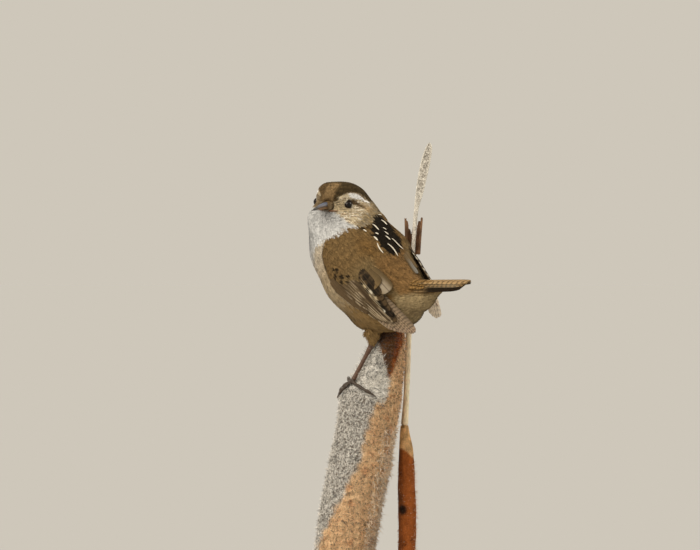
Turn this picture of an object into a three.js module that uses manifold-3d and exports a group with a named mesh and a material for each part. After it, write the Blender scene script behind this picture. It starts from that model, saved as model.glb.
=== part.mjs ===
// A marsh wren, life size and still, perched with its tail cocked on the top of a weathered cattail head,
// beside a thinner cattail whose dry leaf stands up behind its back. Both stems are cut short and are held
// by rods on a plain round base.
// Millimetres, +Z up, origin in the middle of the base's underside. The bird is seen from behind its left
// side when looking along +Y: its breast is towards -X, its tail towards +X and -Y, its face turned to -Y.
import * as THREE from "three";
import { mergeVertices } from "three/addons/utils/BufferGeometryUtils.js";
import Module from "manifold-3d";

const wasm = await Module();
wasm.setup();

const V = (x, y, z) => new THREE.Vector3(x, y, z);
const GAP = 0.34; // between pieces that touch
// Folds smaller than these may be left out of a joined piece
const SLIVERS = [0.03, 0.02, 0.045, 0.012, 0.07, 0.1];
const GRIDS = [0.005, 0.004, 0.006];
const DEG = Math.PI / 180;

// Stand
const BASE_R = 45;
const BASE_H = 8;
const BASE_EDGE = 1.5;
const ROD_R = 2;
const PERCH_FOOT = 24; // height of the cut ends of both stems

// Bird: the middle of the body, and the directions of its breast, right side and back
const BODY_AT = V(-4, -5, 144.7);
const FORWARD = V(-0.604, 0.342, 0.72).normalize();
const RIGHT = V(0.718, 0.629, 0.304);
const HEAD_AT = V(-19.8, -8.5, 168.9); // middle of the root of the bill
const HEAD_FORWARD = V(-0.43, -0.9, -0.055).normalize();
const HEAD_RIGHT = V(-0.9, 0.43, 0.1);

// The flesh under the feathers, as balls joined into round bars: each end is right, forward, up and radius.
const TORSO = [
  [0, -23, 1.6, 9.2],
  [0, -15, -0.6, 15.4],
  [0, -2, -1.2, 18.2],
  [0, 10, 0, 16],
  [0, 16.5, 0.4, 11.5],
];
const NAPE = [7.7, 17.2, 1, 11.8];
const LOWER_BELLY = [
  [3.2, -13.2, -13.4, 7.6],
  [3.2, -4, -5, 11],
];
// In the head's frame, whose origin is the root of the bill
const SKULL_AT = [-0.4, -11.2, 0.6];
const SKULL_R = [7.7, 10.2, 8.8];
const THROAT = [0, -10.4, -4.6, 8.3];
const BEARD = [3.6, -5.4, -6, 6.5];
const OCCIPUT = [-3.4, -15.3, 0.4, 7.9];
const FACE = [
  [0, -8, 0.6, 6],
  [0, -1.1, 0.75, 1.85],
];
const CHEEK = [4.3, -10.4, -3.6, 4.1];
const CROWN = [4.6, -10.4, 4.6, 3.9];
const BROW = [
  [4.6, -8, 4, 2.4],
  [3.2, -3.9, 2.5, 1.2],
];
const BLEND = 3; // how softly the bars run into each other
const HEAD_CELL = 2; // size of the facets
const BODY_CELL = 3.8;
const NECK_AXIS = V(-0.33, 0.1, 0.94).normalize();
const HEAD_CUT = V(-14.7, 1, 162); // a point of the plane that parts head and neck
const NECK_LENGTH = 5.2;

const EYE_R = 1.72;
const EYE_AT = V(6.55, -5.7, 0.8);
const EYE_AXIS = [0.86, 0.49, 0.1];
const LID = { out: 0.9, across: 1.9, r: 0.4 };

const BILL_LENGTH = 13.6;
const BILL_ROOT = -4.2; // how far behind the feathers' edge the bill begins
const BILL_HALF_WIDTH = 2.15;
const BILL_UPPER = 2;
const BILL_LOWER = 1.35;
const GAPE = [1.5, 0.05]; // where the line of the mouth begins to bend down, and how much
const BILL_DROOP = 0.75;
const NOSTRIL = { x: 1.25, y: 2.2, z: 0.75, r: 0.42, length: 1.7 };

const TAIL_ROOT = V(0, -19.5, 10.6); // in the body's frame
const TAIL_DIRECTION = V(0.72, -0.694, 0.02).normalize(); // in the part's frame
const TAIL_LENGTH = 37;
const TAIL_PAIRS = 6;
const TAIL_HALF_SPREAD = 3.1;
const TAIL_ARCH = 2.5;
const TAIL_HEAD = [4.5, -3, 5]; // along the tail, above it, radius: how far the rump's flesh runs into it

const UNDERTAIL_LENGTH = 23;
const UNDERTAIL_R = 7.6;

// Wings: on a surface that follows the body and runs on behind it
const WING_TIP_Y = -38.5;
const WING_LEAVES = -14; // along the body, where the wing parts from it
const WING_TIP_R = 10.4;

// Cattail heads: height, left edge, right edge
const CATTAIL = [
  [24, -25.6, -1.2],
  [38.9, -23.4, 1.9],
  [50.3, -21.7, 3.6],
  [60.5, -19.8, 6],
  [69.9, -17.9, 7.3],
  [79.7, -16, 9],
  [89, -14.6, 10.8],
  [94, -12.4, 11.5],
  [98, -9.5, 11.9],
  [105, -5.6, 12.3],
  [111, -2, 12.4],
  [116, 1.4, 12.2],
  [119.4, 4, 10.6],
  [120.6, 6.6, 8.6],
];
const CATTAIL_SIDES = 28;
const CATTAIL_STEPS = 18;
// Thin spike and stalk: height, X, Y, radius
const SPIKE = [
  [24, 13.1, 2.2, 3.5],
  [48, 13.2, 3.6, 3.62],
  [61, 12.9, 4.6, 3.3],
  [69, 12.7, 5.3, 2.85],
  [75, 12.3, 5.9, 2.1],
  [79, 12.2, 6.3, 1.55],
];
const STALK = [
  [79.34, 12.2, 6.3, 1.5],
  [90, 12.9, 8.6, 1.2],
  [98, 13.2, 10.4, 1.25],
  [117, 14, 14, 1.2],
  [136, 15, 16, 1.1],
  [149, 15.7, 16.4, 1.0],
];

// Small tools

// A smooth run through rows of numbers: returns the row at any place along their first column.
function through(rows) {
  return (at) => {
    const x = Math.min(Math.max(at, rows[0][0]), rows.at(-1)[0]);
    let i = 0;
    while (i < rows.length - 2 && x > rows[i + 1][0]) i += 1;
    const a = rows[Math.max(i - 1, 0)];
    const b = rows[i];
    const c = rows[i + 1];
    const d = rows[Math.min(i + 2, rows.length - 1)];
    const span = c[0] - b[0];
    const t = (x - b[0]) / span;
    return b.slice(1).map((_, k) => {
      const n = k + 1;
      const slopeB = c[0] > a[0] ? ((c[n] - a[n]) / (c[0] - a[0])) * span : 0;
      const slopeC = d[0] > b[0] ? ((d[n] - b[n]) / (d[0] - b[0])) * span : 0;
      const h00 = 2 * t ** 3 - 3 * t ** 2 + 1;
      const h10 = t ** 3 - 2 * t ** 2 + t;
      const h01 = -2 * t ** 3 + 3 * t ** 2;
      const h11 = t ** 3 - t ** 2;
      return h00 * b[n] + h10 * slopeB + h01 * c[n] + h11 * slopeC;
    });
  };
}

// Places from a to b that crowd towards both ends, so that a rounded end stays round.
function crowded(a, b, steps) {
  return Array.from({ length: steps + 1 }, (_, i) => {
    const t = i / steps;
    const eased = 0.5 - 0.5 * Math.cos(Math.PI * t);
    return a + (b - a) * (0.35 * t + 0.65 * eased);
  });
}

// A closed surface through rings of equally many points, with a fan over each end.
function loft(rings) {
  const n = rings[0].length;
  const points = rings.flat();
  const faces = [];
  for (let i = 0; i + 1 < rings.length; i += 1) {
    for (let j = 0; j < n; j += 1) {
      const a = i * n + j;
      const b = i * n + ((j + 1) % n);
      faces.push(a, b, b + n, a, b + n, a + n);
    }
  }
  const middle = (ring) => ring.reduce((s, p) => s.add(p), V(0, 0, 0)).divideScalar(n);
  const first = points.push(middle(rings[0])) - 1;
  const last = points.push(middle(rings.at(-1))) - 1;
  const top = (rings.length - 1) * n;
  for (let j = 0; j < n; j += 1) {
    const k = (j + 1) % n;
    faces.push(first, k, j, last, top + j, top + k);
  }
  return new THREE.BufferGeometry().setFromPoints(points).setIndex(faces);
}

// A closed geometry as a solid that can be joined and cut, turned right way out.
function solid(geometry, matrix = new THREE.Matrix4()) {
  const g = geometry.clone().applyMatrix4(matrix);
  g.deleteAttribute("normal");
  g.deleteAttribute("uv");
  const merged = mergeVertices(g, 1e-4);
  const vertProperties = new Float32Array(merged.attributes.position.array);
  const triVerts = new Uint32Array(merged.index.array);
  const made = new wasm.Manifold(new wasm.Mesh({ numProp: 3, vertProperties, triVerts }));
  if (made.volume() > 0) return made;
  triVerts.reverse();
  return new wasm.Manifold(new wasm.Mesh({ numProp: 3, vertProperties, triVerts }));
}

const join = (solids) => solids.reduce((whole, s) => whole.add(s));
const largest = (s) => s.decompose().sort((a, b) => b.volume() - a.volume())[0];

// A joined solid without its finest slivers and with its corners moved to a fine grid, so that no two of
// them nearly meet and no two folds share an edge.
function settled(made) {
  for (const [sliver, grid] of SLIVERS.flatMap((a) => GRIDS.map((b) => [a, b]))) {
    const m = made.simplify(sliver).getMesh();
    const places = Array.from(m.vertProperties, (v) => Math.round(v / grid) * grid);
    const geometry = new THREE.BufferGeometry();
    geometry.setAttribute("position", new THREE.BufferAttribute(new Float32Array(places), 3));
    geometry.setIndex(Array.from(m.triVerts));
    const merged = mergeVertices(geometry, grid / 4);
    const index = merged.index.array;
    const faces = [];
    for (let i = 0; i < index.length; i += 3) {
      const [a, b, c] = [index[i], index[i + 1], index[i + 2]];
      if (a !== b && b !== c && c !== a) faces.push(a, b, c);
    }
    const shared = new Map();
    faces.forEach((from, i) => {
      const to = faces[i % 3 === 2 ? i - 2 : i + 1];
      const edge = `${Math.min(from, to)} ${Math.max(from, to)}`;
      shared.set(edge, (shared.get(edge) ?? 0) + 1);
    });
    if ([...shared.values()].some((n) => n !== 2)) continue;
    const vertProperties = new Float32Array(merged.attributes.position.array);
    try {
      const mesh = new wasm.Mesh({ numProp: 3, vertProperties, triVerts: new Uint32Array(faces) });
      return new wasm.Manifold(mesh);
    } catch {
      continue;
    }
  }
  return made;
}

// The name, solid and finish of one sub-part as a mesh.
function mesh(name, made, finish) {
  const m = settled(largest(made)).getMesh();
  const geometry = new THREE.BufferGeometry();
  geometry.setAttribute("position", new THREE.BufferAttribute(new Float32Array(m.vertProperties), 3));
  geometry.setIndex(new THREE.BufferAttribute(new Uint32Array(m.triVerts), 1));
  geometry.computeVertexNormals();
  const [color, roughness, metalness = 0] = finish;
  const result = new THREE.Mesh(geometry, new THREE.MeshStandardMaterial({ color, roughness, metalness }));
  result.name = name;
  return result;
}

// A frame whose X, Y and Z are right, forward and up, as a matrix.
function frameOf(at, forward, right) {
  const up = right.clone().cross(forward).normalize();
  const side = forward.clone().cross(up).normalize();
  return new THREE.Matrix4().makeBasis(side, forward, up).setPosition(at);
}

const BODY = frameOf(BODY_AT, FORWARD, RIGHT);
const SKULL = frameOf(HEAD_AT, HEAD_FORWARD, HEAD_RIGHT);
const body = (x, y, z) => V(x, y, z).applyMatrix4(BODY);
const skull = (x, y, z) => V(x, y, z).applyMatrix4(SKULL);

// How far a point is outside a bar whose two ends are balls.
function fromBar(p, a, ra, b, rb) {
  const run = b.clone().sub(a);
  const length2 = run.lengthSq();
  const slope = ra - rb;
  const cone = length2 - slope * slope;
  const from = p.clone().sub(a);
  const y = from.dot(run);
  const z = y - length2;
  const x2 = from.multiplyScalar(length2).addScaledVector(run, -y).lengthSq();
  const k = Math.sign(slope) * slope * slope * x2;
  if (Math.sign(z) * cone * z * z * length2 > k) return Math.sqrt(x2 + z * z * length2) / length2 - rb;
  if (Math.sign(y) * cone * y * y * length2 < k) return Math.sqrt(x2 + y * y * length2) / length2 - ra;
  return (Math.sqrt((x2 * cone) / length2) + y * slope) / length2 - ra;
}

// The lesser of two distances, rounded where they are alike.
function soft(a, b, k) {
  const h = Math.max(k - Math.abs(a - b), 0) / k;
  return Math.min(a, b) - (h * h * k) / 4;
}

// The closed surface where a distance is equal to grow, between two corners, in facets of about a cell.
function skinOf(distance, low, high, cell, grow = 0) {
  const count = high.clone().sub(low).divideScalar(cell).ceil();
  const [nx, ny, nz] = [count.x + 1, count.y + 1, count.z + 1];
  const node = (i, j, k) => (k * ny + j) * nx + i;
  const place = (i, j, k) => V(low.x + i * cell, low.y + j * cell, low.z + k * cell);
  const value = new Float32Array(nx * ny * nz);
  for (let k = 0; k < nz; k += 1) {
    for (let j = 0; j < ny; j += 1) {
      for (let i = 0; i < nx; i += 1) value[node(i, j, k)] = distance(place(i, j, k)) - grow;
    }
  }
  const corners = [0, 1, 2, 3, 4, 5, 6, 7].map((c) => [c & 1, (c >> 1) & 1, (c >> 2) & 1]);
  const pairs = [];
  for (let a = 0; a < 8; a += 1) {
    for (const bit of [1, 2, 4]) if (!(a & bit)) pairs.push([a, a | bit]);
  }
  const points = [];
  const owner = new Map();
  for (let k = 0; k + 1 < nz; k += 1) {
    for (let j = 0; j + 1 < ny; j += 1) {
      for (let i = 0; i + 1 < nx; i += 1) {
        const v = corners.map(([a, b, c]) => value[node(i + a, j + b, k + c)]);
        const sum = V(0, 0, 0);
        let crossings = 0;
        for (const [a, b] of pairs) {
          if (v[a] < 0 === v[b] < 0) continue;
          const t = v[a] / (v[a] - v[b]);
          sum.add(V(...corners[a]).lerp(V(...corners[b]), t));
          crossings += 1;
        }
        if (!crossings) continue;
        sum.divideScalar(crossings).multiplyScalar(cell).add(place(i, j, k));
        owner.set(node(i, j, k), points.push(sum) - 1);
      }
    }
  }
  for (const p of points) {
    for (let step = 0; step < 3; step += 1) {
      const slope = ["x", "y", "z"].map((axis) => {
        const a = p.clone();
        a[axis] += 0.02;
        return distance(a);
      });
      const here = distance(p);
      const normal = V(slope[0] - here, slope[1] - here, slope[2] - here).divideScalar(0.02);
      p.addScaledVector(normal, -(here - grow) / Math.max(normal.lengthSq(), 0.2));
    }
  }
  const faces = [];
  const around = [
    [[1, 0, 0], [[0, 0, 0], [0, 1, 0], [0, 1, 1], [0, 0, 1]]],
    [[0, 1, 0], [[0, 0, 0], [0, 0, 1], [1, 0, 1], [1, 0, 0]]],
    [[0, 0, 1], [[0, 0, 0], [1, 0, 0], [1, 1, 0], [0, 1, 0]]],
  ];
  for (let k = 1; k + 1 < nz; k += 1) {
    for (let j = 1; j + 1 < ny; j += 1) {
      for (let i = 1; i + 1 < nx; i += 1) {
        for (const [[a, b, c], cells] of around) {
          const inside = value[node(i, j, k)] < 0;
          if (inside === value[node(i + a, j + b, k + c)] < 0) continue;
          const q = cells.map(([x, y, z]) => owner.get(node(i - x, j - y, k - z)));
          if (!inside) q.reverse();
          const one = points[q[0]].distanceToSquared(points[q[2]]);
          const other = points[q[1]].distanceToSquared(points[q[3]]);
          if (one < other) faces.push(q[0], q[1], q[2], q[0], q[2], q[3]);
          else faces.push(q[1], q[2], q[3], q[1], q[3], q[0]);
        }
      }
    }
  }
  return solid(new THREE.BufferGeometry().setFromPoints(points).setIndex(faces));
}

// A round bar through points with a radius at each, its rings square to its run.
function bar(points, radii, sides = 10, flat = 1) {
  const rings = points.map((p, i) => {
    const along = points[Math.min(i + 1, points.length - 1)]
      .clone()
      .sub(points[Math.max(i - 1, 0)])
      .normalize();
    const across = along.clone().cross(Math.abs(along.z) > 0.9 ? V(0, 1, 0) : V(0, 0, 1)).normalize();
    const up = across.clone().cross(along).normalize();
    return Array.from({ length: sides }, (_, j) => {
      const angle = (j / sides) * 2 * Math.PI;
      return p
        .clone()
        .addScaledVector(across, Math.cos(angle) * radii[i])
        .addScaledVector(up, Math.sin(angle) * radii[i] * flat);
    });
  });
  return solid(loft(rings));
}

// A smooth run of points between a few given ones.
function smooth(points, steps) {
  return new THREE.CatmullRomCurve3(points, false, "centripetal").getPoints(steps);
}

// Everything on the far side of a plane, as a large block.
function beyond(at, normal, reach = 90) {
  const turn = new THREE.Quaternion().setFromUnitVectors(V(0, 0, 1), normal.clone().normalize());
  const block = new THREE.BoxGeometry(reach, reach, reach).translate(0, 0, reach / 2);
  return solid(block, new THREE.Matrix4().compose(at, turn, V(1, 1, 1)));
}

// A feather: a thin blade along a run of spots, each with its middle, its direction across and its face.
// Its section is a flat lozenge, and both faces are split into triangles alike.
const VANE_SHAPE = [0.55, 0.95, 0.97, 0.6];
const VANE_STOPS = [0, 0.36, 0.8, 0.96];
function vane(spot, halfWidth, thick, stops = VANE_STOPS, shape = VANE_SHAPE) {
  const points = [];
  stops.forEach((t, i) => {
    const { at, across, face } = spot(t);
    const half = halfWidth * shape[i];
    const put = (side, rise) => {
      points.push(at.clone().addScaledVector(across, side).addScaledVector(face, rise));
    };
    put(-half, 0);
    put(0, thick / 2);
    put(half, 0);
    put(0, -thick / 2);
  });
  const tip = points.push(spot(1).at) - 1;
  const faces = [0, 2, 1, 0, 3, 2];
  for (let i = 0; i + 1 < stops.length; i += 1) {
    for (let j = 0; j < 4; j += 1) {
      const a = i * 4 + j;
      const b = i * 4 + ((j + 1) % 4);
      if (j === 0 || j === 2) faces.push(a, b, a + 4, b, b + 4, a + 4);
      else faces.push(a, b, b + 4, a, b + 4, a + 4);
    }
  }
  const end = (stops.length - 1) * 4;
  for (let j = 0; j < 4; j += 1) faces.push(end + j, end + ((j + 1) % 4), tip);
  return solid(new THREE.BufferGeometry().setFromPoints(points).setIndex(faces));
}

// Bird

const FEATHER = ["#7a6242", 0.85];
const PALE = ["#c9c0b0", 0.9];
const HORN = ["#4a4038", 0.45];

// The tail's own directions, and a place by its side, along it and above it.
const TAIL_FACE = (() => {
  const side = V(1, 0, 0).transformDirection(BODY);
  return side.clone().cross(TAIL_DIRECTION.clone().negate()).normalize();
})();
const TAIL_SIDE = TAIL_DIRECTION.clone().negate().cross(TAIL_FACE).normalize();
const TAIL_AT = TAIL_ROOT.clone().applyMatrix4(BODY);
const tailSpot = (side, along, rise) =>
  TAIL_AT.clone()
    .addScaledVector(TAIL_SIDE, side)
    .addScaledVector(TAIL_DIRECTION, along)
    .addScaledVector(TAIL_FACE, rise);
const ballIn = (frame, [x, y, z, r], hand = 1) => [frame(hand * x, y, z), r];
const fleshBars = (() => {
  const trunk = TORSO.map((row) => ballIn(body, row));
  const bars = trunk.slice(1).map((end, i) => [...trunk[i], ...end]);
  const throat = ballIn(skull, THROAT);
  const nape = ballIn(body, NAPE);
  bars.push([...trunk[0], tailSpot(0, TAIL_HEAD[0], TAIL_HEAD[1]), TAIL_HEAD[2]]);
  bars.push([...trunk.at(-1), ...throat], [...nape, ...ballIn(skull, OCCIPUT)], [...nape, ...trunk.at(-1)]);
  bars.push([...throat, ...ballIn(skull, BEARD)]);
  bars.push([...ballIn(skull, FACE[0]), ...ballIn(skull, FACE[1])]);
  for (const hand of [-1, 1]) {
    bars.push([...ballIn(skull, CHEEK, hand), ...throat]);
    bars.push([...ballIn(skull, BROW[0], hand), ...ballIn(skull, BROW[1], hand)]);
    bars.push([...ballIn(skull, CROWN, hand), ...ballIn(skull, BROW[0], hand)]);
    bars.push([...ballIn(body, LOWER_BELLY[0], hand), ...ballIn(body, LOWER_BELLY[1], hand)]);
  }
  return bars;
})();
const INTO_SKULL = SKULL.clone().invert();
function flesh(p) {
  const q = p.clone().applyMatrix4(INTO_SKULL).sub(V(...SKULL_AT));
  const one = Math.hypot(q.x / SKULL_R[0], q.y / SKULL_R[1], q.z / SKULL_R[2]);
  const two = Math.hypot(q.x / SKULL_R[0] ** 2, q.y / SKULL_R[1] ** 2, q.z / SKULL_R[2] ** 2);
  const start = (one * (one - 1)) / Math.max(two, 1e-6);
  return fleshBars.reduce((least, [a, ra, b, rb]) => soft(least, fromBar(p, a, ra, b, rb), BLEND), start);
}
const FLESH_LOW = V(-46, -34, 112);
const FLESH_HIGH = V(32, 26, 188);
const headSkin = skinOf(flesh, FLESH_LOW, FLESH_HIGH, HEAD_CELL);
const bodySkin = skinOf(flesh, FLESH_LOW, FLESH_HIGH, BODY_CELL);
const clearOfFlesh = skinOf(flesh, FLESH_LOW, FLESH_HIGH, 2, GAP);

// How far the flesh reaches from the body's own Y axis, in a direction round it.
function fleshReach(y, x, z) {
  let near = 0;
  let far = 30;
  while (far - near > 0.01) {
    const r = (near + far) / 2;
    if (flesh(body(x * r, y, z * r)) < 0) near = r;
    else far = r;
  }
  return near;
}

// Vent and under-tail feathers: a soft cone from the rump along the underside of the tail.
function undertailSolid(grow = 0) {
  const points = smooth(
    [body(0, -17, 0), tailSpot(0, 6, -7.2), tailSpot(0, 15, -3.4), tailSpot(0, UNDERTAIL_LENGTH, -1.1)],
    8,
  );
  const radii = points.map((_, i) => {
    const t = i / 8;
    return UNDERTAIL_R * (1 - t) ** 0.72 + 0.7 + grow;
  });
  return bar(points, radii, 22);
}

// Tail: six pairs of feathers closed over each other, the middle pair on top, with coverts over the root.
function tail() {
  const blades = [];
  for (let pair = 0; pair < TAIL_PAIRS; pair += 1) {
    for (const hand of [-1, 1]) {
      const out = (pair + 0.35) / (TAIL_PAIRS - 0.65);
      const length = TAIL_LENGTH * (1 - 0.13 * out ** 2);
      const spot = (t) => ({
        at: tailSpot(
          hand * TAIL_HALF_SPREAD * out * (0.35 + 0.65 * t),
          -3 + t * (length + 3),
          -TAIL_ARCH * out ** 1.3 - (hand > 0 ? 0.16 : 0) + 1.2 * (1 - t) * (1 - out),
        ),
        across: TAIL_SIDE.clone().addScaledVector(TAIL_FACE, -hand * 0.5 * out).normalize(),
        face: TAIL_FACE.clone().addScaledVector(TAIL_SIDE, hand * 0.5 * out).normalize(),
      });
      blades.push(vane(spot, 3.1 - 0.5 * out, 0.62));
    }
  }
  for (let row = 0; row < 2; row += 1) {
    for (let k = -2; k <= 2; k += 1) {
      const end = 17 - row * 5 - Math.abs(k) * 0.8;
      const spot = (t) => ({
        at: tailSpot(k * (1.5 - 0.25 * t), -5 + t * (end + 5), 0.7 + row * 0.45 - 0.42 * k * k * 0.5),
        across: TAIL_SIDE.clone().addScaledVector(TAIL_FACE, -0.3 * k).normalize(),
        face: TAIL_FACE.clone().addScaledVector(TAIL_SIDE, 0.3 * k).normalize(),
      });
      blades.push(vane(spot, 2.3, 0.6));
    }
  }
  const whole = join([undertailSolid(), ...blades]).subtract(clearOfFlesh);
  return mesh("tail", whole, FEATHER);
}

// The wing's own surface: angle is measured from the middle of the back round to the side.
function wingSurface(hand, y, angle, rise) {
  const x = Math.sin(angle * DEG);
  const z = Math.cos(angle * DEG);
  const reach = fleshReach(Math.max(y, WING_LEAVES), hand * x, z);
  const t = Math.min(Math.max((WING_LEAVES - y) / (WING_LEAVES - WING_TIP_Y), 0), 1);
  const r = reach + (WING_TIP_R - reach) * t ** 0.9 + rise;
  return body(hand * x * r, y, z * r);
}
function wingSpot(hand, from, to, rises) {
  return (t) => {
    const y = from[0] + (to[0] - from[0]) * t;
    const angle = from[1] + (to[1] - from[1]) * t;
    const rise = rises[0] + (rises[1] - rises[0]) * t;
    const at = wingSurface(hand, y, angle, rise);
    const across = wingSurface(hand, y, angle + 2, rise);
    across.sub(wingSurface(hand, y, angle - 2, rise)).normalize();
    const along = wingSurface(hand, y - 1, angle, rise);
    along.sub(wingSurface(hand, y + 1, angle, rise)).normalize();
    const face = across.clone().cross(along).normalize();
    const away = at.clone().sub(BODY_AT);
    const outward = away.clone().add(face).length() > away.length();
    return { at, across, face: outward ? face : face.negate() };
  };
}

// Rows of wing feathers, the undermost first: how many, the first and last root and tip as place along
// the body and angle, half width, thickness, and how high they lie at root and tip.
const WING_ROWS = [
  {
    count: 5, roots: [[-2, 60], [-2, 80]], tips: [[-34, 52], [-28, 90]],
    bulge: 6, half: 3, rise: [1.05, 0.9], lift: -0.04,
  },
  {
    count: 2, roots: [[4, 84], [9, 88]], tips: [[-15.5, 87], [-9, 92]],
    bulge: 0, half: 2.1, rise: [0.75, 0.7], lift: 0.1,
  },
  {
    count: 4, roots: [[3, 77], [3, 54]], tips: [[-25, 75], [-20, 46]],
    bulge: 0.5, half: 3.7, rise: [1.25, 1.5], lift: 0.07,
  },
  {
    count: 3, roots: [[1, 52], [1, 42]], tips: [[-21, 48], [-14.5, 39]],
    bulge: 0, half: 3.9, rise: [1.75, 1.95], lift: 0.1,
  },
  {
    count: 5, roots: [[9, 82], [8, 47]], tips: [[-5, 80], [-4, 43]],
    bulge: 0, half: 3, rise: [1.1, 2.05], lift: 0.05,
  },
  {
    count: 4, roots: [[11, 77], [11, 49]], tips: [[2, 81], [3, 46]],
    bulge: 0, half: 3.1, rise: [1, 2.2], lift: 0.04,
  },
];
const WING_THICK = 0.62;
function wing(hand, name) {
  const blades = [];
  for (const row of WING_ROWS) {
    for (let i = 0; i < row.count; i += 1) {
      const t = i / (row.count - 1);
      const between = (pair, k) => pair[0][k] + (pair[1][k] - pair[0][k]) * t;
      const reach = -row.bulge * Math.sin(Math.PI * (0.12 + 0.76 * t));
      const from = [between(row.roots, 0), between(row.roots, 1)];
      const to = [between(row.tips, 0) + reach, between(row.tips, 1)];
      const rises = row.rise.map((r) => r + row.lift * i);
      blades.push(vane(wingSpot(hand, from, to, rises), row.half, WING_THICK));
    }
  }
  const whole = join([wingPad(hand), ...blades])
    .subtract(clearOfFlesh)
    .subtract(undertailSolid(GAP));
  return mesh(name, whole, FEATHER);
}

// The wing's front, where the small coverts lie close: a lens-shaped pad from the bend of the wing back.
function wingPad(hand) {
  const rings = [];
  for (let i = 0; i <= 8; i += 1) {
    const t = i / 8;
    const y = 11.8 - 11.8 * t;
    const round = Math.sqrt(Math.sin(Math.PI * (0.06 + 0.8 * t)));
    const centre = 58 + 6 * t;
    const half = 22 * round;
    const ring = [];
    for (let j = 0; j < 12; j += 1) {
      const a = (j / 12) * 2 * Math.PI;
      const rise = 0.92 + 0.5 * Math.sin(a) * round;
      ring.push(wingSurface(hand, y, centre + half * Math.cos(a), rise));
    }
    rings.push(ring);
  }
  return solid(loft(rings));
}

// Head with the eye sockets, the rims of the lids and the space the bill grows from.
const eyeAt = (hand) => skull(hand * EYE_AT.x, EYE_AT.y, EYE_AT.z);
const eyeAxis = (hand) => V(hand * EYE_AXIS[0], EYE_AXIS[1], EYE_AXIS[2]).transformDirection(SKULL);
function ball(at, r, detail = 16) {
  return solid(new THREE.SphereGeometry(r, detail, detail / 2), new THREE.Matrix4().makeTranslation(at));
}
function lids(hand) {
  const turn = new THREE.Quaternion().setFromUnitVectors(V(0, 0, 1), eyeAxis(hand));
  const at = eyeAt(hand).addScaledVector(eyeAxis(hand), LID.out);
  const ring = new THREE.TorusGeometry(LID.across, LID.r, 5, 18);
  return solid(ring, new THREE.Matrix4().compose(at, turn, V(0.88, 1, 1)));
}
function bodyParts() {
  const cut = (depth) => beyond(HEAD_CUT.clone().addScaledVector(NECK_AXIS, -depth), NECK_AXIS);
  let head = join([headSkin, lids(-1), lids(1)]).intersect(cut(0));
  for (const hand of [-1, 1]) head = head.subtract(ball(eyeAt(hand), EYE_R + GAP));
  head = head.subtract(billHalf(1, GAP)).subtract(billHalf(-1, GAP));
  const neck = bodySkin.subtract(cut(GAP)).intersect(cut(NECK_LENGTH));
  const torso = bodySkin.subtract(cut(NECK_LENGTH + GAP));
  return [mesh("head", head, FEATHER), mesh("neck", neck, PALE), mesh("torso", torso, FEATHER)];
}

// One half of the bill, 1 for the upper and -1 for the lower: a slim, slightly drooping half cone.
function billHalf(half, grow = 0) {
  const rings = [];
  for (let i = 0; i <= 10; i += 1) {
    const t = i / 10;
    const y = BILL_ROOT - grow + t * (BILL_LENGTH - BILL_ROOT - (half < 0 ? 0.5 : 0) + 2 * grow);
    const u = Math.max(y, 0) / BILL_LENGTH;
    const slim = Math.max(1 - u ** 1.25, 0.09);
    const droop = -BILL_DROOP * u ** 2 - GAPE[1] * Math.max(GAPE[0] - y, 0) ** 1.5;
    const width = BILL_HALF_WIDTH * slim + 0.26 * Math.max(-y, 0) + grow;
    const height = (half > 0 ? BILL_UPPER : BILL_LOWER * Math.min(1 + 0.12 * y, 1)) * slim + 2 * grow;
    const ring = [];
    for (let j = 0; j <= 8; j += 1) {
      const a = (j / 8) * Math.PI;
      ring.push(skull(Math.cos(a) * width, y, droop + half * (GAP / 2 - grow + Math.sin(a) ** 0.8 * height)));
    }
    for (let j = 1; j < 4; j += 1) {
      ring.push(skull(-width + (width * j) / 2, y, droop + half * (GAP / 2 - grow)));
    }
    rings.push(ring);
  }
  return solid(loft(rings));
}
function bill() {
  let upper = billHalf(1);
  for (const hand of [-1, 1]) {
    const from = skull(hand * (NOSTRIL.x + 0.4), NOSTRIL.y - NOSTRIL.length / 2, NOSTRIL.z);
    const to = skull(hand * (NOSTRIL.x + 0.3), NOSTRIL.y + NOSTRIL.length / 2, NOSTRIL.z - 0.1);
    upper = upper.subtract(bar(smooth([from, to], 3), [0.2, NOSTRIL.r, NOSTRIL.r, 0.2], 6));
  }
  return [mesh("bill_upper", upper, HORN), mesh("bill_lower", billHalf(-1), HORN)];
}
function eyes() {
  return [
    [-1, "eye_left"],
    [1, "eye_right"],
  ].map(([hand, name]) => mesh(name, ball(eyeAt(hand), EYE_R, 18), ["#0d0a08", 0.08]));
}

// Cattail head, thin spike, stalk, leaf and torn husk

const cattailAt = through(CATTAIL);
// A point on the cattail head: height, angle from +X, and how far out from its surface.
function cattailPoint(z, angle, out = 0) {
  const [left, right] = cattailAt(z);
  const lean = Math.min(Math.max((z - 96) / 20, 0), 1);
  const wide = (right - left) / 2 + out;
  const deep = wide * (1 + 0.5 * lean ** 2);
  const wave = 1 + 0.018 * Math.sin(3 * angle + z / 9) + 0.012 * Math.sin(5 * angle - z / 5);
  return V((left + right) / 2 + Math.cos(angle) * wide * wave, Math.sin(angle) * deep * wave, z);
}
function cattailSolid(out = 0) {
  const heights = crowded(CATTAIL[0][0], CATTAIL.at(-1)[0], CATTAIL_STEPS);
  const rings = heights.map((z) =>
    Array.from({ length: CATTAIL_SIDES }, (_, j) => cattailPoint(z, (j / CATTAIL_SIDES) * 2 * Math.PI, out)),
  );
  return solid(loft(rings));
}
function cattail() {
  const whole = cattailSolid().subtract(clearOfFlesh).subtract(undertailSolid(0.5));
  return mesh("perch_cattail", whole, ["#b39468", 0.95]);
}
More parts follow.
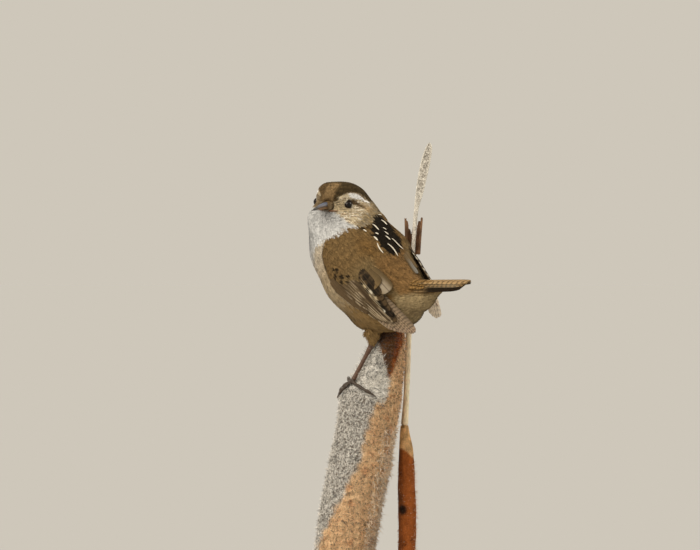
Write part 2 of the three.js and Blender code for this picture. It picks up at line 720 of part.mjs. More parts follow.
function stem(name, rows, steps, sides, finish) {
  const at = through(rows);
  const rings = [];
  for (let i = 0; i <= steps; i += 1) {
    const z = rows[0][0] + ((rows.at(-1)[0] - rows[0][0]) * i) / steps;
    const [x, y, r] = at(z);
    rings.push(
      Array.from({ length: sides }, (_, j) => {
        const a = (j / sides) * 2 * Math.PI;
        return V(x + Math.cos(a) * r, y + Math.sin(a) * r, z);
      }),
    );
  }
  return mesh(name, solid(loft(rings)), finish);
}

// The dry leaf: a thin gutter with rolled edges, narrow below and wider above, ending in a thread.
const LEAF = [
  [149.4, 15.7, 16.4, 0.86],
  [160, 16.4, 16.2, 0.84],
  [168, 17.1, 16, 0.95],
  [174, 18.3, 15.8, 1.5],
  [181, 19.6, 15.6, 1.9],
  [189, 21.3, 15.4, 1.86],
  [193.4, 22.3, 15.3, 1.3],
  [195.4, 22.6, 15.2, 0.35],
];
function leaf() {
  const at = through(LEAF);
  const rings = [];
  for (let i = 0; i <= 20; i += 1) {
    const z = LEAF[0][0] + ((LEAF.at(-1)[0] - LEAF[0][0]) * i) / 20;
    const [x, y, half] = at(z);
    const open = Math.min(Math.max((z - 164) / 12, 0), 1);
    const ring = [];
    const hollow = 0.7 * open;
    for (const [a, r] of [
      [-1, 0], [-0.8, -0.75], [-0.3, -0.85 + hollow], [0.3, -0.85 + hollow], [0.8, -0.75], [1, 0],
      [0.7, 0.75], [0, 0.9], [-0.7, 0.75],
    ]) {
      ring.push(V(x + a * half, y + r * Math.min(half, 0.95), z));
    }
    rings.push(ring);
  }
  return mesh("perch_leaf", solid(loft(rings)), ["#d9cdb4", 0.8]);
}

// The dark torn husk round the leaf's foot: part of a tube, open to the front, with a ragged top.
const HUSK_AT = V(15.6, 16.6, 150.5);
const HUSK_R = 3.6;
const HUSK_WALL = 0.9;
const HUSK_TOP = 163.4;
const HUSK_OPEN = 62; // degrees each side of the front that are open
function husk() {
  const points = [];
  const faces = [];
  const n = 11;
  const levels = 4;
  for (const r of [HUSK_R, HUSK_R - HUSK_WALL]) {
    for (let i = 0; i <= levels; i += 1) {
      for (let j = 0; j <= n; j += 1) {
        const a = (-90 + HUSK_OPEN + ((360 - 2 * HUSK_OPEN) * j) / n) * DEG;
        const ragged = 1.3 * Math.sin(j * 2.3) + 0.9 * Math.cos(j * 4.1);
        const top = HUSK_TOP + ragged - (j < n / 2 ? 1.5 : 0);
        const z = HUSK_AT.z + ((top - HUSK_AT.z) * i) / levels;
        const lean = ((z - HUSK_AT.z) / 16) * 0.5;
        const flare = 0.9 + (0.1 * i) / levels;
        points.push(V(HUSK_AT.x + lean + Math.cos(a) * r * flare, HUSK_AT.y + Math.sin(a) * r * flare, z));
      }
    }
  }
  const row = n + 1;
  const inner = (levels + 1) * row;
  const quad = (a, b, c, d) => faces.push(a, b, c, a, c, d);
  for (let i = 0; i < levels; i += 1) {
    for (let j = 0; j < n; j += 1) {
      const a = i * row + j;
      quad(a, a + 1, a + 1 + row, a + row);
      faces.push(inner + a, inner + a + 1 + row, inner + a + 1);
      faces.push(inner + a, inner + a + row, inner + a + 1 + row);
    }
    const left = i * row;
    const right = i * row + n;
    quad(left, left + row, inner + left + row, inner + left);
    quad(right, inner + right, inner + right + row, right + row);
  }
  for (let j = 0; j < n; j += 1) {
    const top = levels * row + j;
    quad(j, inner + j, inner + j + 1, j + 1);
    quad(top, top + 1, inner + top + 1, inner + top);
  }
  const shell = solid(new THREE.BufferGeometry().setFromPoints(points).setIndex(faces));
  const foot = bar([V(15.75, 19.4, 146), V(15.9, 19.2, 150), V(16, 19.3, 153)], [0.6, 1.1, 0.7], 10);
  return mesh("perch_husk", join([shell, foot]), ["#3e2c22", 0.9]);
}

// Legs

const TARSUS_R = 0.78;
const TOE_R = 0.62;
// Ankle, foot and where the feathered thigh leaves the body, in the part's frame
const LEGS = {
  left: {
    thigh: [body(-5, -13.5, -13), V(-0.9, -6.6, 116), V(-1.7, -6.7, 111.6)],
    foot: { z: 97.6, angle: 214 },
    toes: [
      [[96.6, 222], [94.2, 250], [92.4, 268], [90.8, 279]],
      [[96.6, 206], [93.6, 196], [91.6, 187], [89.6, 181]],
      [[97, 203], [94.6, 184], [92.6, 170], [90.6, 160]],
      [[97.4, 200], [98.4, 182], [98.4, 168], [97.8, 157]],
    ],
  },
  right: {
    thigh: [body(5, -13.5, -13), V(7.4, 8.6, 121), V(6.2, 12.8, 115.4)],
    foot: { z: 100.2, angle: 112 },
    toes: [
      [[99.5, 101], [97.6, 80], [96.2, 60], [95, 46]],
      [[99.3, 120], [97.2, 129], [95.8, 136], [94.6, 141]],
      [[98.9, 116], [95.6, 122], [92.9, 128], [90.8, 131]],
      [[98.7, 109], [95.2, 104], [92.3, 100], [90, 97]],
    ],
  },
};
function leg(side) {
  const { thigh, foot, toes } = LEGS[side];
  const footAt = cattailPoint(foot.z, foot.angle * DEG, 1.5);
  const thighPoints = smooth(thigh, 5);
  const made = bar(thighPoints, [6.2, 5.6, 4.4, 3, 1.9, 1.35], 14)
    .subtract(clearOfFlesh)
    .subtract(cattailSolid(GAP + 0.1));
  const ankle = thigh[2];
  const down = footAt.clone().sub(ankle).normalize();
  const start = ankle.clone().addScaledVector(down, GAP + 0.6);
  const end = footAt.clone().addScaledVector(down, -(GAP + 1));
  const shank = smooth([start, start.clone().lerp(end, 0.5), end], 6);
  const tarsus = bar(shank, [1.05, 0.9, TARSUS_R, TARSUS_R, TARSUS_R, 0.85, 0.95], 10);
  const pieces = [ball(footAt, 1.05, 10)];
  for (const toe of toes) {
    const outs = [TOE_R + 0.42, TOE_R + 0.57, TOE_R + 0.42, 0.55];
    const spots = toe.map(([z, a], i) => cattailPoint(z, a * DEG, outs[i]));
    const run = smooth([footAt, ...spots], 9);
    const radii = run.map((_, i) => (i < 7 ? TOE_R + 0.1 * Math.sin(i * 2.2) : [0.42, 0.28, 0.08][i - 7]));
    pieces.push(bar(run, radii, 6));
  }
  const grip = join(pieces).subtract(bar(shank, [1.4, 1.25, 1.1, 1.1, 1.1, 1.2, 1.3], 10));
  return [
    mesh(`thigh_${side}`, made, FEATHER),
    mesh(`tarsus_${side}`, tarsus, HORN),
    mesh(`foot_${side}`, grip, HORN),
  ];
}

// Stand

function stand() {
  const profile = [
    new THREE.Vector2(0, 0),
    new THREE.Vector2(BASE_R, 0),
    new THREE.Vector2(BASE_R, BASE_H - BASE_EDGE),
    new THREE.Vector2(BASE_R - BASE_EDGE, BASE_H),
    new THREE.Vector2(0, BASE_H),
  ];
  const turned = new THREE.LatheGeometry(profile, 56).rotateX(Math.PI / 2);
  const low = BASE_H + GAP;
  const high = PERCH_FOOT - GAP;
  const rods = [
    ["stand_rod_cattail", (CATTAIL[0][1] + CATTAIL[0][2]) / 2, 0],
    ["stand_rod_spike", SPIKE[0][1], SPIKE[0][2]],
  ].map(([name, x, y]) => {
    const rod = new THREE.CylinderGeometry(ROD_R, ROD_R, high - low, 20).rotateX(Math.PI / 2);
    return mesh(name, solid(rod.translate(x, y, (low + high) / 2)), ["#8f8a80", 0.3, 1]);
  });
  return [mesh("stand_base", solid(turned), ["#2e2620", 0.5]), ...rods];
}

const wren = new THREE.Group();
wren.add(...bodyParts(), ...bill(), ...eyes(), tail(), wing(-1, "wing_left"), wing(1, "wing_right"));
wren.add(...leg("left"), ...leg("right"));

const perch = new THREE.Group();
perch.add(
  cattail(),
  stem("perch_spike", SPIKE, 11, 16, ["#8a4a2a", 0.85]),
  stem("perch_stalk", STALK, 12, 10, ["#b09a72", 0.7]),
  leaf(),
  husk(),
);

const model = new THREE.Group();
model.add(wren, perch, ...stand());
export default model;
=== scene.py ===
"""A marsh wren with its tail cocked on a weathered cattail head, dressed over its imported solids.

Lengths in this file are millimetres in the part's own frame (+Z up, the face turned to -Y) until they
reach a mesh, where they become metres.
"""

import logging
import math
from dataclasses import dataclass, field
from enum import Enum, IntEnum
from typing import Callable, Sequence

import bpy
import numpy as np
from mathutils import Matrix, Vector
from mathutils.bvhtree import BVHTree


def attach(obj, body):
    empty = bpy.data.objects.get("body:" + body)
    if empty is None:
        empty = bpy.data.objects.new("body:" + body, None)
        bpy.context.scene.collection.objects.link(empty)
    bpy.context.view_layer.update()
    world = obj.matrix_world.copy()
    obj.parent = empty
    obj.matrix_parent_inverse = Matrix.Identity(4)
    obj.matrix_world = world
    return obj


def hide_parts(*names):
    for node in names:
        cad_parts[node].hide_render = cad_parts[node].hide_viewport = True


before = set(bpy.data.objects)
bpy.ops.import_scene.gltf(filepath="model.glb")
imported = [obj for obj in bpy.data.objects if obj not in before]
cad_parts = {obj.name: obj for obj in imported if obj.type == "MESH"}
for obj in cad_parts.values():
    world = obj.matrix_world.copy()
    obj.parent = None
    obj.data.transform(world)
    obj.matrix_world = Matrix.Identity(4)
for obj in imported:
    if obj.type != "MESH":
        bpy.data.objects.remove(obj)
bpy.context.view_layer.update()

LOG = logging.getLogger("wren")
MM = 0.001
TURN = 2 * math.pi
PATCH = 0.003
PIXEL = 0.41
BODY_SPAN = (-32.0, 68.0)
STEM_SPAN = (20.0, 104.0)
Array = np.ndarray


# Numbers and directions


def from_photo(spot: Sequence[float], y: float) -> Array:
    """The point at a depth that a place in the photo stands for, in pixels from its upper left corner."""
    return np.array([(spot[0] - 375) * PIXEL, y, 28 + (550 - spot[1]) * PIXEL])


def unit(v: Array) -> Array:
    """Vectors at length one."""
    return v / np.maximum(np.linalg.norm(v, axis=-1, keepdims=True), 1e-9)


def ease(low: float, high: float, x: Array) -> Array:
    """A soft step from 0 at low to 1 at high."""
    t = np.clip((np.asarray(x, float) - low) / (high - low), 0, 1)
    return t * t * (3 - 2 * t)


def spot(distance: Array, radius: float, soft: float = 0.5) -> Array:
    """1 inside a radius, fading to 0 over its soft share."""
    return 1 - ease(radius * (1 - soft), radius, distance)


def tone(code: str) -> Array:
    """A colour written as #rrggbb, as linear light."""
    c = np.array([int(code[i : i + 2], 16) / 255 for i in (1, 3, 5)])
    return np.where(c <= 0.04045, c / 12.92, ((c + 0.055) / 1.055) ** 2.4)


def ripple(p: Array, size: float, seed: float = 0.0) -> Array:
    """Soft uneven patches from -1 to 1, about size across.

    Args:
        p: points, one a row.
        size: how far apart the patches are.
        seed: another pattern for another number.
    """
    q = np.asarray(p, float) * (TURN / size)
    x, y, z = q[..., 0] + 1.7 * seed, q[..., 1] - 2.9 * seed, q[..., 2] + 0.7 * seed
    bend = np.sin(0.61 * x + 0.43 * z + seed) * 1.3
    a = np.sin(x * 0.83 + 0.9 * np.sin(y * 0.57 + bend))
    b = np.sin(y * 0.91 - 0.8 * np.sin(z * 0.73 - bend) + 1.1)
    c = np.sin(z * 0.87 + 0.7 * np.sin(x * 0.67 + y * 0.31) + 2.3)
    return (a + b + c) / 3 * 1.25


def closing(share: Array, reach: float = 1e-6) -> Array:
    """0 at both ends of a run and 1 from a reach inside them."""
    return np.clip(np.minimum(share, 1 - share) / reach, 0, 1)


def read(at: Array, places: Array, rows: Array) -> Array:
    """Rows of three numbers read at any place between their own places."""
    return np.stack([np.interp(at, places, rows[:, k]) for k in range(3)], axis=1)


def along_path(path: Array) -> Array:
    """How far along a path each of its points lies."""
    return np.concatenate([[0], np.cumsum(np.linalg.norm(np.diff(path, axis=0), axis=1))])


def run_through(points: Sequence[Sequence[float]], count: int) -> Array:
    """A smooth run of count points through a few given ones."""
    p = np.array(points, float)
    p = np.vstack([2 * p[0] - p[1], p, 2 * p[-1] - p[-2]])
    t = np.linspace(0, len(p) - 3 - 1e-9, count)
    i = t.astype(int)
    f = (t - i)[:, None]
    a, b, c, d = p[i], p[i + 1], p[i + 2], p[i + 3]
    return 0.5 * (2 * b + (c - a) * f + (2 * a - 5 * b + 4 * c - d) * f**2 + (3 * b - a - 3 * c + d) * f**3)


def along(rows: Sequence[Sequence[float]], at: Array) -> Array:
    """Rows of numbers read smoothly at any place along their first column.

    Args:
        rows: a place, then its numbers.
        at: the places to read.

    Returns:
        The numbers, one row for each place.
    """
    r = np.array(rows, float)
    x = np.clip(np.atleast_1d(np.asarray(at, float)), r[0, 0], r[-1, 0])
    i = np.clip(np.searchsorted(r[:, 0], x, side="left") - 1, 0, len(r) - 2)
    before, after = np.maximum(i - 1, 0), np.minimum(i + 2, len(r) - 1)
    span = (r[i + 1, 0] - r[i, 0])[:, None]
    t = (x[:, None] - r[i, 0][:, None]) / span
    slope_b = (r[i + 1, 1:] - r[before, 1:]) / (r[i + 1, 0] - r[before, 0])[:, None] * span
    slope_c = (r[after, 1:] - r[i, 1:]) / (r[after, 0] - r[i, 0])[:, None] * span
    h = 2 * t**3 - 3 * t**2
    return (h + 1) * r[i, 1:] + (t**3 - 2 * t**2 + t) * slope_b - h * r[i + 1, 1:] + (t**3 - t**2) * slope_c


@dataclass(frozen=True)
class Axes:
    """A place with the directions of its right side, its front and its top."""

    at: Array
    side: Array
    ahead: Array
    top: Array

    @classmethod
    def of(cls, at: Sequence[float], ahead: Sequence[float], right: Sequence[float]) -> "Axes":
        """Axes from a place, its front and roughly its right side."""
        forward = unit(np.array(ahead, float))
        top = unit(np.cross(np.array(right, float), forward))
        return cls(np.array(at, float), unit(np.cross(forward, top)), forward, top)

    def point(self, x: Array, y: Array, z: Array) -> Array:
        """The place of a point given along the axes."""
        x, y, z = (np.asarray(v, float)[..., None] for v in (x, y, z))
        return self.at + x * self.side + y * self.ahead + z * self.top

    def local(self, p: Array) -> Array:
        """Points as distances along the axes."""
        return (np.asarray(p, float) - self.at) @ np.stack([self.side, self.ahead, self.top], axis=1)


BODY = Axes.of((-4, -5, 144.7), (-0.604, 0.342, 0.72), (0.718, 0.629, 0.304))
HEAD = Axes.of((-19.8, -8.5, 168.9), (-0.43, -0.9, -0.055), (-0.9, 0.43, 0.1))
EYE_MIDDLE = (6.55, -5.7, 0.8)
TAIL_RUN = unit(np.array([0.72, -0.694, 0.02]))
TAIL_TOP = unit(np.cross(BODY.side, -TAIL_RUN))
TAIL = Axes(BODY.point(0, -19.5, 10.6), unit(np.cross(-TAIL_RUN, TAIL_TOP)), TAIL_RUN, TAIL_TOP)


class Side(Enum):
    """The two sides of the bird, as seen by the bird itself."""

    LEFT = -1
    RIGHT = 1

    @property
    def word(self) -> str:
        """The side as it stands in the names of pieces and nodes."""
        return self.name.lower()


# Shader maths, written as Python maths


class Value:
    """A socket of a material that can be added, multiplied and compared like a number."""

    def __init__(self, paint: "Paint", socket: bpy.types.NodeSocket) -> None:
        """Wraps one output socket of a paint's nodes."""
        self.paint = paint
        self.socket = socket

    def _math(self, operation: str, a: object, b: object = 0.0) -> "Value":
        """One Math node on one or two values."""
        return self.paint.node("ShaderNodeMath", {"operation": operation}, {0: a, 1: b})

    def __add__(self, other: object) -> "Value":
        """self + other."""
        return self._math("ADD", self, other)

    def __sub__(self, other: object) -> "Value":
        """self - other."""
        return self._math("SUBTRACT", self, other)

    def __rsub__(self, other: object) -> "Value":
        """other - self."""
        return self._math("SUBTRACT", other, self)

    def __mul__(self, other: object) -> "Value":
        """self * other."""
        return self._math("MULTIPLY", self, other)

    def __truediv__(self, other: object) -> "Value":
        """self / other."""
        return self._math("DIVIDE", self, other)

    __radd__ = __add__
    __rmul__ = __mul__

    def size(self) -> "Value":
        """The value without its sign."""
        return self._math("ABSOLUTE", self)

    def wave(self) -> "Value":
        """The sine of the value."""
        return self._math("SINE", self)

    def between(self, low: float, high: float, to_low: float = 0.0, to_high: float = 1.0) -> "Value":
        """A soft step, 0 at low and 1 at high unless told otherwise."""
        settings = {"interpolation_type": "SMOOTHSTEP", "clamp": True}
        sockets = {"Value": self, "From Min": low, "From Max": high, "To Min": to_low, "To Max": to_high}
        return self.paint.node("ShaderNodeMapRange", settings, sockets)


class Paint:
    """One material in the making."""

    def __init__(self, name: str) -> None:
        """Starts a material with no nodes in it."""
        self.material = bpy.data.materials.new(name)
        self.material.use_nodes = True
        self.tree = self.material.node_tree
        self.tree.nodes.clear()

    def node(
        self, kind: str, settings: dict | None = None, sockets: dict | None = None, out: str | int = 0
    ) -> Value:
        """Adds any node.

        Args:
            kind: the node's type.
            settings: what is set on the node itself, before its sockets.
            sockets: a value, colour or link for each input, by name or number.
            out: the output that the result stands for, by name or number.
        """
        made = self.tree.nodes.new(kind)
        for key, value in (settings or {}).items():
            setattr(made, key, value)
        for key, value in (sockets or {}).items():
            if isinstance(value, Value):
                self.tree.links.new(value.socket, made.inputs[key])
            elif isinstance(value, (tuple, list, np.ndarray)):
                wide = len(made.inputs[key].default_value)
                made.inputs[key].default_value = ([float(v) for v in value] + [1.0])[:wide]
            else:
                made.inputs[key].default_value = value
        return Value(self, made.outputs[out])

    def spread(self) -> Value:
        """Object coordinates in millimetres."""
        at = self.node("ShaderNodeTexCoord", out="Object")
        return self.node("ShaderNodeVectorMath", {"operation": "SCALE"}, {0: at, "Scale": 1 / MM})

    def parts(self, vector: Value) -> tuple[Value, Value, Value]:
        """A vector's three numbers."""
        outputs = self.node("ShaderNodeSeparateXYZ", sockets={0: vector}).socket.node.outputs
        return tuple(Value(self, outputs[i]) for i in range(3))

    def join(self, x: object, y: object, z: object = 0.0) -> Value:
        """Three numbers as a vector."""
        return self.node("ShaderNodeCombineXYZ", sockets={0: x, 1: y, 2: z})

    def stretched(self, vector: Value, by: Sequence[float]) -> Value:
        """A vector times another, number by number."""
        return self.node("ShaderNodeVectorMath", {"operation": "MULTIPLY"}, {0: vector, 1: by})

    def noise(self, at: Value, scale: float, detail: float = 2.0, rough: float = 0.5) -> Value:
        """Cloudy noise from 0 to 1."""
        sockets = {"Vector": at, "Scale": scale, "Detail": detail, "Roughness": rough}
        return self.node("ShaderNodeTexNoise", sockets=sockets)

    def cells(self, at: Value, scale: float) -> Value:
        """Distance from the nearest middle in a pattern of cells."""
        return self.node("ShaderNodeTexVoronoi", sockets={"Vector": at, "Scale": scale}, out="Distance")

    def held(self, name: str, out: str = "Color") -> Value:
        """An attribute that the mesh carries."""
        return self.node("ShaderNodeAttribute", {"attribute_name": name}, out=out)

    def chart(self, name: str) -> Value:
        """A UV map of the mesh."""
        return self.node("ShaderNodeUVMap", {"uv_map": name})

    def mixed(self, share: object, a: object, b: object) -> Value:
        """Two colours mixed by a share."""
        return self.node("ShaderNodeMix", {"data_type": "RGBA"}, {0: share, 6: a, 7: b}, 2)

    def lit(self, color: Value, by: object) -> Value:
        """A colour made lighter or darker by a factor."""
        return self.node("ShaderNodeVectorMath", {"operation": "SCALE"}, {0: color, "Scale": by})

    def bump(self, height: Value, depth: float) -> Value:
        """A normal from a height, depth in millimetres."""
        return self.node("ShaderNodeBump", sockets={"Height": height, "Distance": depth * MM, "Strength": 1.0})

    def finish(self, color: object, roughness: object, normal: Value | None = None, **fixed: float) -> None:
        """Closes the material with one Principled surface.

        Args:
            color: the base colour.
            roughness: the roughness.
            normal: a bumped normal, if any.
            fixed: plain numbers for other sockets, with _ for a space.
        """
        sockets = {"Base Color": color, "Roughness": roughness}
        if normal is not None:
            sockets["Normal"] = normal
        sockets.update({key.replace("_", " "): value for key, value in fixed.items()})
        self.close(self.node("ShaderNodeBsdfPrincipled", sockets=sockets))

    def close(self, surface: Value) -> None:
        """Leads a surface to the material's output."""
        end = self.tree.nodes.new("ShaderNodeOutputMaterial")
        self.tree.links.new(surface.socket, end.inputs["Surface"])


# Finishes. Most read the colour that a mesh carries as its tint, and add what is finer than its vertices.


@dataclass(frozen=True)
class Finish:
    """The look of one surface."""

    name: str

    def material(self) -> bpy.types.Material:
        """The finish as a new material."""
        p = Paint(self.name)
        self.dress(p)
        return p.material

    def dress(self, p: Paint) -> None:
        """Adds the finish's nodes."""
        raise NotImplementedError


@dataclass(frozen=True)
class Down(Finish):
    """Small soft feathers, with fine barbs along each."""

    streak: float = 0.26
    mottle: float = 0.14
    roughness: float = 0.88

    def dress(self, p: Paint) -> None:
        """Adds the finish's nodes."""
        across, run, _ = p.parts(p.chart("Vane"))
        own = p.held("own", "Fac")
        barbs = p.noise(p.join(across * 3.5 + own * 37.0, run * 0.7, own * 11.0), 2.0, 3.0, 0.6)
        patch = p.noise(p.spread(), 0.55, 3.0, 0.6)
        shade = (barbs - 0.5) * (2 * self.streak) + (patch - 0.5) * (2 * self.mottle) + 1.0
        color = p.lit(p.held("tint"), shade)
        p.finish(color, self.roughness, p.bump(barbs, 0.06), Specular_IOR_Level=0.12)


@dataclass(frozen=True)
class Underskin(Finish):
    """The dense under-feathers that show between the outer ones, their tint darkened a little as painted shade between
    the outer feathers.
    """

    # how dark the tint is made: painted shade where the outer feathers cover these
    dark: float = 0.88

    def dress(self, p: Paint) -> None:
        """Adds the finish's nodes."""
        fine = p.noise(p.spread(), 2.2, 4.0, 0.65)
        # the tint darkened by dark, as painted shade between the outer feathers
        color = p.lit(p.held("tint"), fine.between(0.25, 0.75, self.dark * 0.8, self.dark * 1.25))
        p.finish(color, 0.9, p.bump(fine, 0.2), Specular_IOR_Level=0.1)


@dataclass(frozen=True)
class Vaned(Finish):
    """Stiff feathers: a pale shaft, fine barbs, dark bars and a pale outer edge, each as strong as the mesh says."""

    def dress(self, p: Paint) -> None:
        """Adds the finish's nodes."""
        across, run, _ = p.parts(p.chart("Vane"))
        bars, pitch, fringe = p.parts(p.held("pattern", "Vector"))
        own = p.held("own", "Fac")
        wobble = p.noise(p.join(across * 1.2 + own * 31.0, run * 0.6, own * 7.0), 1.6, 2.0)
        phase = (run * TURN) / pitch + across.size() * -3.2 + wobble * 4.5 + own * 3.5
        dark = phase.wave().between(-0.2, 0.7) * bars * p.noise(p.spread(), 0.8).between(0.25, 0.55, 0.35, 1.0)
        barbs = p.noise(p.join(across * 2.0 + own * 17.0, run * 3.0 - across.size() * 3.0, own * 5.0), 2.2, 3.0, 0.6)
        color = p.lit(p.held("tint"), (barbs - 0.5) * 0.5 + 1.0)
        color = p.mixed(dark, color, p.lit(color, 0.22))
        edge = across.between(0.8, 0.88) * fringe
        color = p.mixed(edge, color, tone("#eadab8"))
        shaft = (1 - across.size().between(0.03, 0.1)) * 0.55
        color = p.mixed(shaft, color, tone("#4a3826"))
        p.finish(color, 0.7, p.bump(barbs * 0.6 + shaft, 0.08), Specular_IOR_Level=0.12)


@dataclass(frozen=True)
class Horn(Finish):
    """The bill's thin horn, faintly streaked along it."""

    roughness: float = 0.34
    gloss: float = 0.25

    def dress(self, p: Paint) -> None:
        """Adds the finish's nodes."""
        fine = p.noise(p.stretched(p.spread(), (1.0, 0.5, 2.2)), 1.5, 4.0, 0.6)
        color = p.lit(p.held("tint"), fine.between(0.2, 0.8, 0.78, 1.2))
        rough = fine.between(0.2, 0.8, self.roughness - 0.06, self.roughness + 0.12)
        p.finish(color, rough, p.bump(fine, 0.05), Coat_Weight=self.gloss, Coat_Roughness=0.2)


@dataclass(frozen=True)
class Eye(Finish):
    """A wet, nearly black eye with a faint brown iris."""

    def dress(self, p: Paint) -> None:
        """Adds the finish's nodes."""
        fine = p.noise(p.spread(), 3.0, 3.0)
        color = p.lit(p.held("tint"), fine.between(0.2, 0.8, 0.8, 1.25))
        p.finish(color, 0.09, Specular_IOR_Level=0.3)


@dataclass(frozen=True)
class Scales(Finish):
    """Horny scales on legs and toes, with painted shade darkening the creases between them."""

    pitch: float = 1.15

    def dress(self, p: Paint) -> None:
        """Adds the finish's nodes."""
        _, run, _ = p.parts(p.chart("Vane"))
        crease = (run * (math.pi / self.pitch)).wave().size().between(0.02, 0.35)
        fine = p.noise(p.spread(), 3.0, 4.0, 0.6)
        # the tint darkened in the creases as painted shade
        color = p.lit(p.held("tint"), crease.between(0.0, 1.0, 0.6, 1.0) * fine.between(0.2, 0.8, 0.8, 1.25))
        p.finish(color, fine.between(0.2, 0.8, 0.38, 0.55), p.bump(crease + fine * 0.3, 0.12))


@dataclass(frozen=True)
class Felt(Finish):
    """Matted seed down: fine tangled fibres over the tint, with dark specks where it is pale."""

    specks: float = 1.0

    def dress(self, p: Paint) -> None:
        """Adds the finish's nodes."""
        at = p.spread()
        tangle = p.noise(at, 2.8, 5.0, 0.75)
        coarse = p.noise(at, 0.5, 3.0, 0.6)
        worn = p.noise(p.stretched(at, (1.0, 1.0, 0.8)), 1.25, 4.0, 0.7)
        speck = worn.between(0.48, 0.55) * p.held("specks", "Fac") * self.specks
        color = p.lit(p.held("tint"), tangle.between(0.3, 0.7, 0.6, 1.32) * coarse.between(0.3, 0.7, 0.84, 1.12))
        color = p.mixed(speck, color, p.stretched(color, (0.2, 0.16, 0.125)))
        p.finish(color, 0.95, p.bump(tangle + coarse * 0.8 - speck * 0.6, 0.7), Specular_IOR_Level=0.15)


@dataclass(frozen=True)
class Fibre(Finish):
    """Loose hairs of seed down, in the tint that each carries."""

    def dress(self, p: Paint) -> None:
        """Adds the finish's nodes."""
        fine = p.noise(p.spread(), 1.4, 2.0)
        color = p.lit(p.held("tint"), fine.between(0.2, 0.8, 0.8, 1.2))
        p.finish(color, 0.8, Sheen_Weight=0.2, Specular_IOR_Level=0.2)


@dataclass(frozen=True)
class Straw(Finish):
    """Dry stem or leaf: fine ribs along it, blotches and specks in the tint."""

    ribs: float = 3.2
    speckle: float = 0.5
    roughness: float = 0.6

    def dress(self, p: Paint) -> None:
        """Adds the finish's nodes."""
        at = p.spread()
        rib = p.noise(p.stretched(at, (1.0, 1.0, 0.05)), self.ribs, 3.0, 0.55)
        blotch = p.noise(p.stretched(at, (1.0, 1.0, 0.4)), 0.8, 4.0, 0.65)
        dots = (1 - p.cells(p.stretched(at, (1.0, 1.0, 0.55)), 1.3).between(0.1, 0.3)) * self.speckle
        dots = dots * blotch.between(0.45, 0.62)
        color = p.lit(p.held("tint"), rib.between(0.25, 0.75, 0.74, 1.16) * blotch.between(0.25, 0.75, 0.82, 1.14))
        color = p.mixed(dots, color, tone("#4d4238"))
        p.finish(color, self.roughness, p.bump(rib + blotch * 0.4, 0.18), Specular_IOR_Level=0.35)


@dataclass(frozen=True)
class TurnedWood(Finish):
    """Dark stained wood with fine straight grain under a satin varnish."""

    pale: str = "#6b4c37"
    deep: str = "#3c281b"

    def dress(self, p: Paint) -> None:
        """Adds the finish's nodes."""
        at = p.spread()
        sway = p.noise(at, 0.03, 2.0)
        x, y, z = p.parts(at)
        rings = p.noise(p.join(x * 0.02, y * 0.32 + sway * 3.0, z * 0.25), 1.0, 5.0, 0.6)
        pores = p.noise(p.join(x * 0.12, y * 2.6, z * 2.0), 1.0, 3.0, 0.6)
        share = rings.between(0.3, 0.7) * 0.75 + pores.between(0.35, 0.7) * 0.25
        color = p.mixed(share, tone(self.deep), tone(self.pale))
        rough = pores.between(0.3, 0.7, 0.5, 0.36)
        p.finish(color, rough, p.bump(pores, 0.06), Coat_Weight=0.25, Coat_Roughness=0.25)


@dataclass(frozen=True)
class BrushedRod(Finish):
    """A steel rod with fine turning marks round it."""

    def dress(self, p: Paint) -> None:
        """Adds the finish's nodes."""
        marks = p.noise(p.stretched(p.spread(), (0.3, 0.3, 9.0)), 1.0, 4.0, 0.6)
        color = p.mixed(marks, tone("#8f8c86"), tone("#b9b6ae"))
        p.finish(color, marks.between(0.2, 0.8, 0.26, 0.42), p.bump(marks, 0.03), Metallic=1.0)


# Making meshes


def only(obj: bpy.types.Object) -> None:
    """Makes one object the active one and the only one selected."""
    bpy.ops.object.select_all(action="DESELECT")
    obj.hide_set(False)
    obj.select_set(True)
    bpy.context.view_layer.objects.active = obj


def in_edit(obj: bpy.types.Object, step: Callable[[], object]) -> None:
    """Runs one mesh operator on all of an object."""
    only(obj)
    bpy.ops.object.mode_set(mode="EDIT")
    bpy.ops.mesh.select_all(action="SELECT")
    step()
    bpy.ops.object.mode_set(mode="OBJECT")


def corners(obj: bpy.types.Object) -> Array:
    """An object's vertices in millimetres."""
    co = np.zeros(len(obj.data.vertices) * 3)
    obj.data.vertices.foreach_get("co", co)
    return co.reshape(-1, 3) / MM


def move_corners(obj: bpy.types.Object, places: Array) -> None:
    """Puts an object's vertices at places in millimetres."""
    obj.data.vertices.foreach_set("co", (np.asarray(places) * MM).ravel())
    obj.data.update()


def carry(obj: bpy.types.Object, name: str, values: Array) -> None:
    """Gives a mesh an attribute, one row for each vertex: numbers, vectors or colours."""
    values = np.asarray(values, float)
    wide = 1 if values.ndim == 1 else values.shape[1]
    color = name == "tint"
    kind = "FLOAT_COLOR" if color else {1: "FLOAT", 3: "FLOAT_VECTOR"}[wide]
    made = obj.data.attributes.new(name, kind, "POINT")
    if color:
        values = np.hstack([np.clip(values, 0, 1), np.ones((len(values), 1))])
    word = "color" if color else ("value" if wide == 1 else "vector")
    made.data.foreach_set(word, values.astype(np.float32).ravel())


def chart(obj: bpy.types.Object, name: str, places: Array) -> None:
    """Gives a mesh a UV map with one place for each vertex."""
    loops = np.zeros(len(obj.data.loops), np.int32)
    obj.data.loops.foreach_get("vertex_index", loops)
    layer = obj.data.uv_layers.new(name=name, do_init=False)
    layer.data.foreach_set("uv", np.asarray(places, np.float32)[loops].ravel())


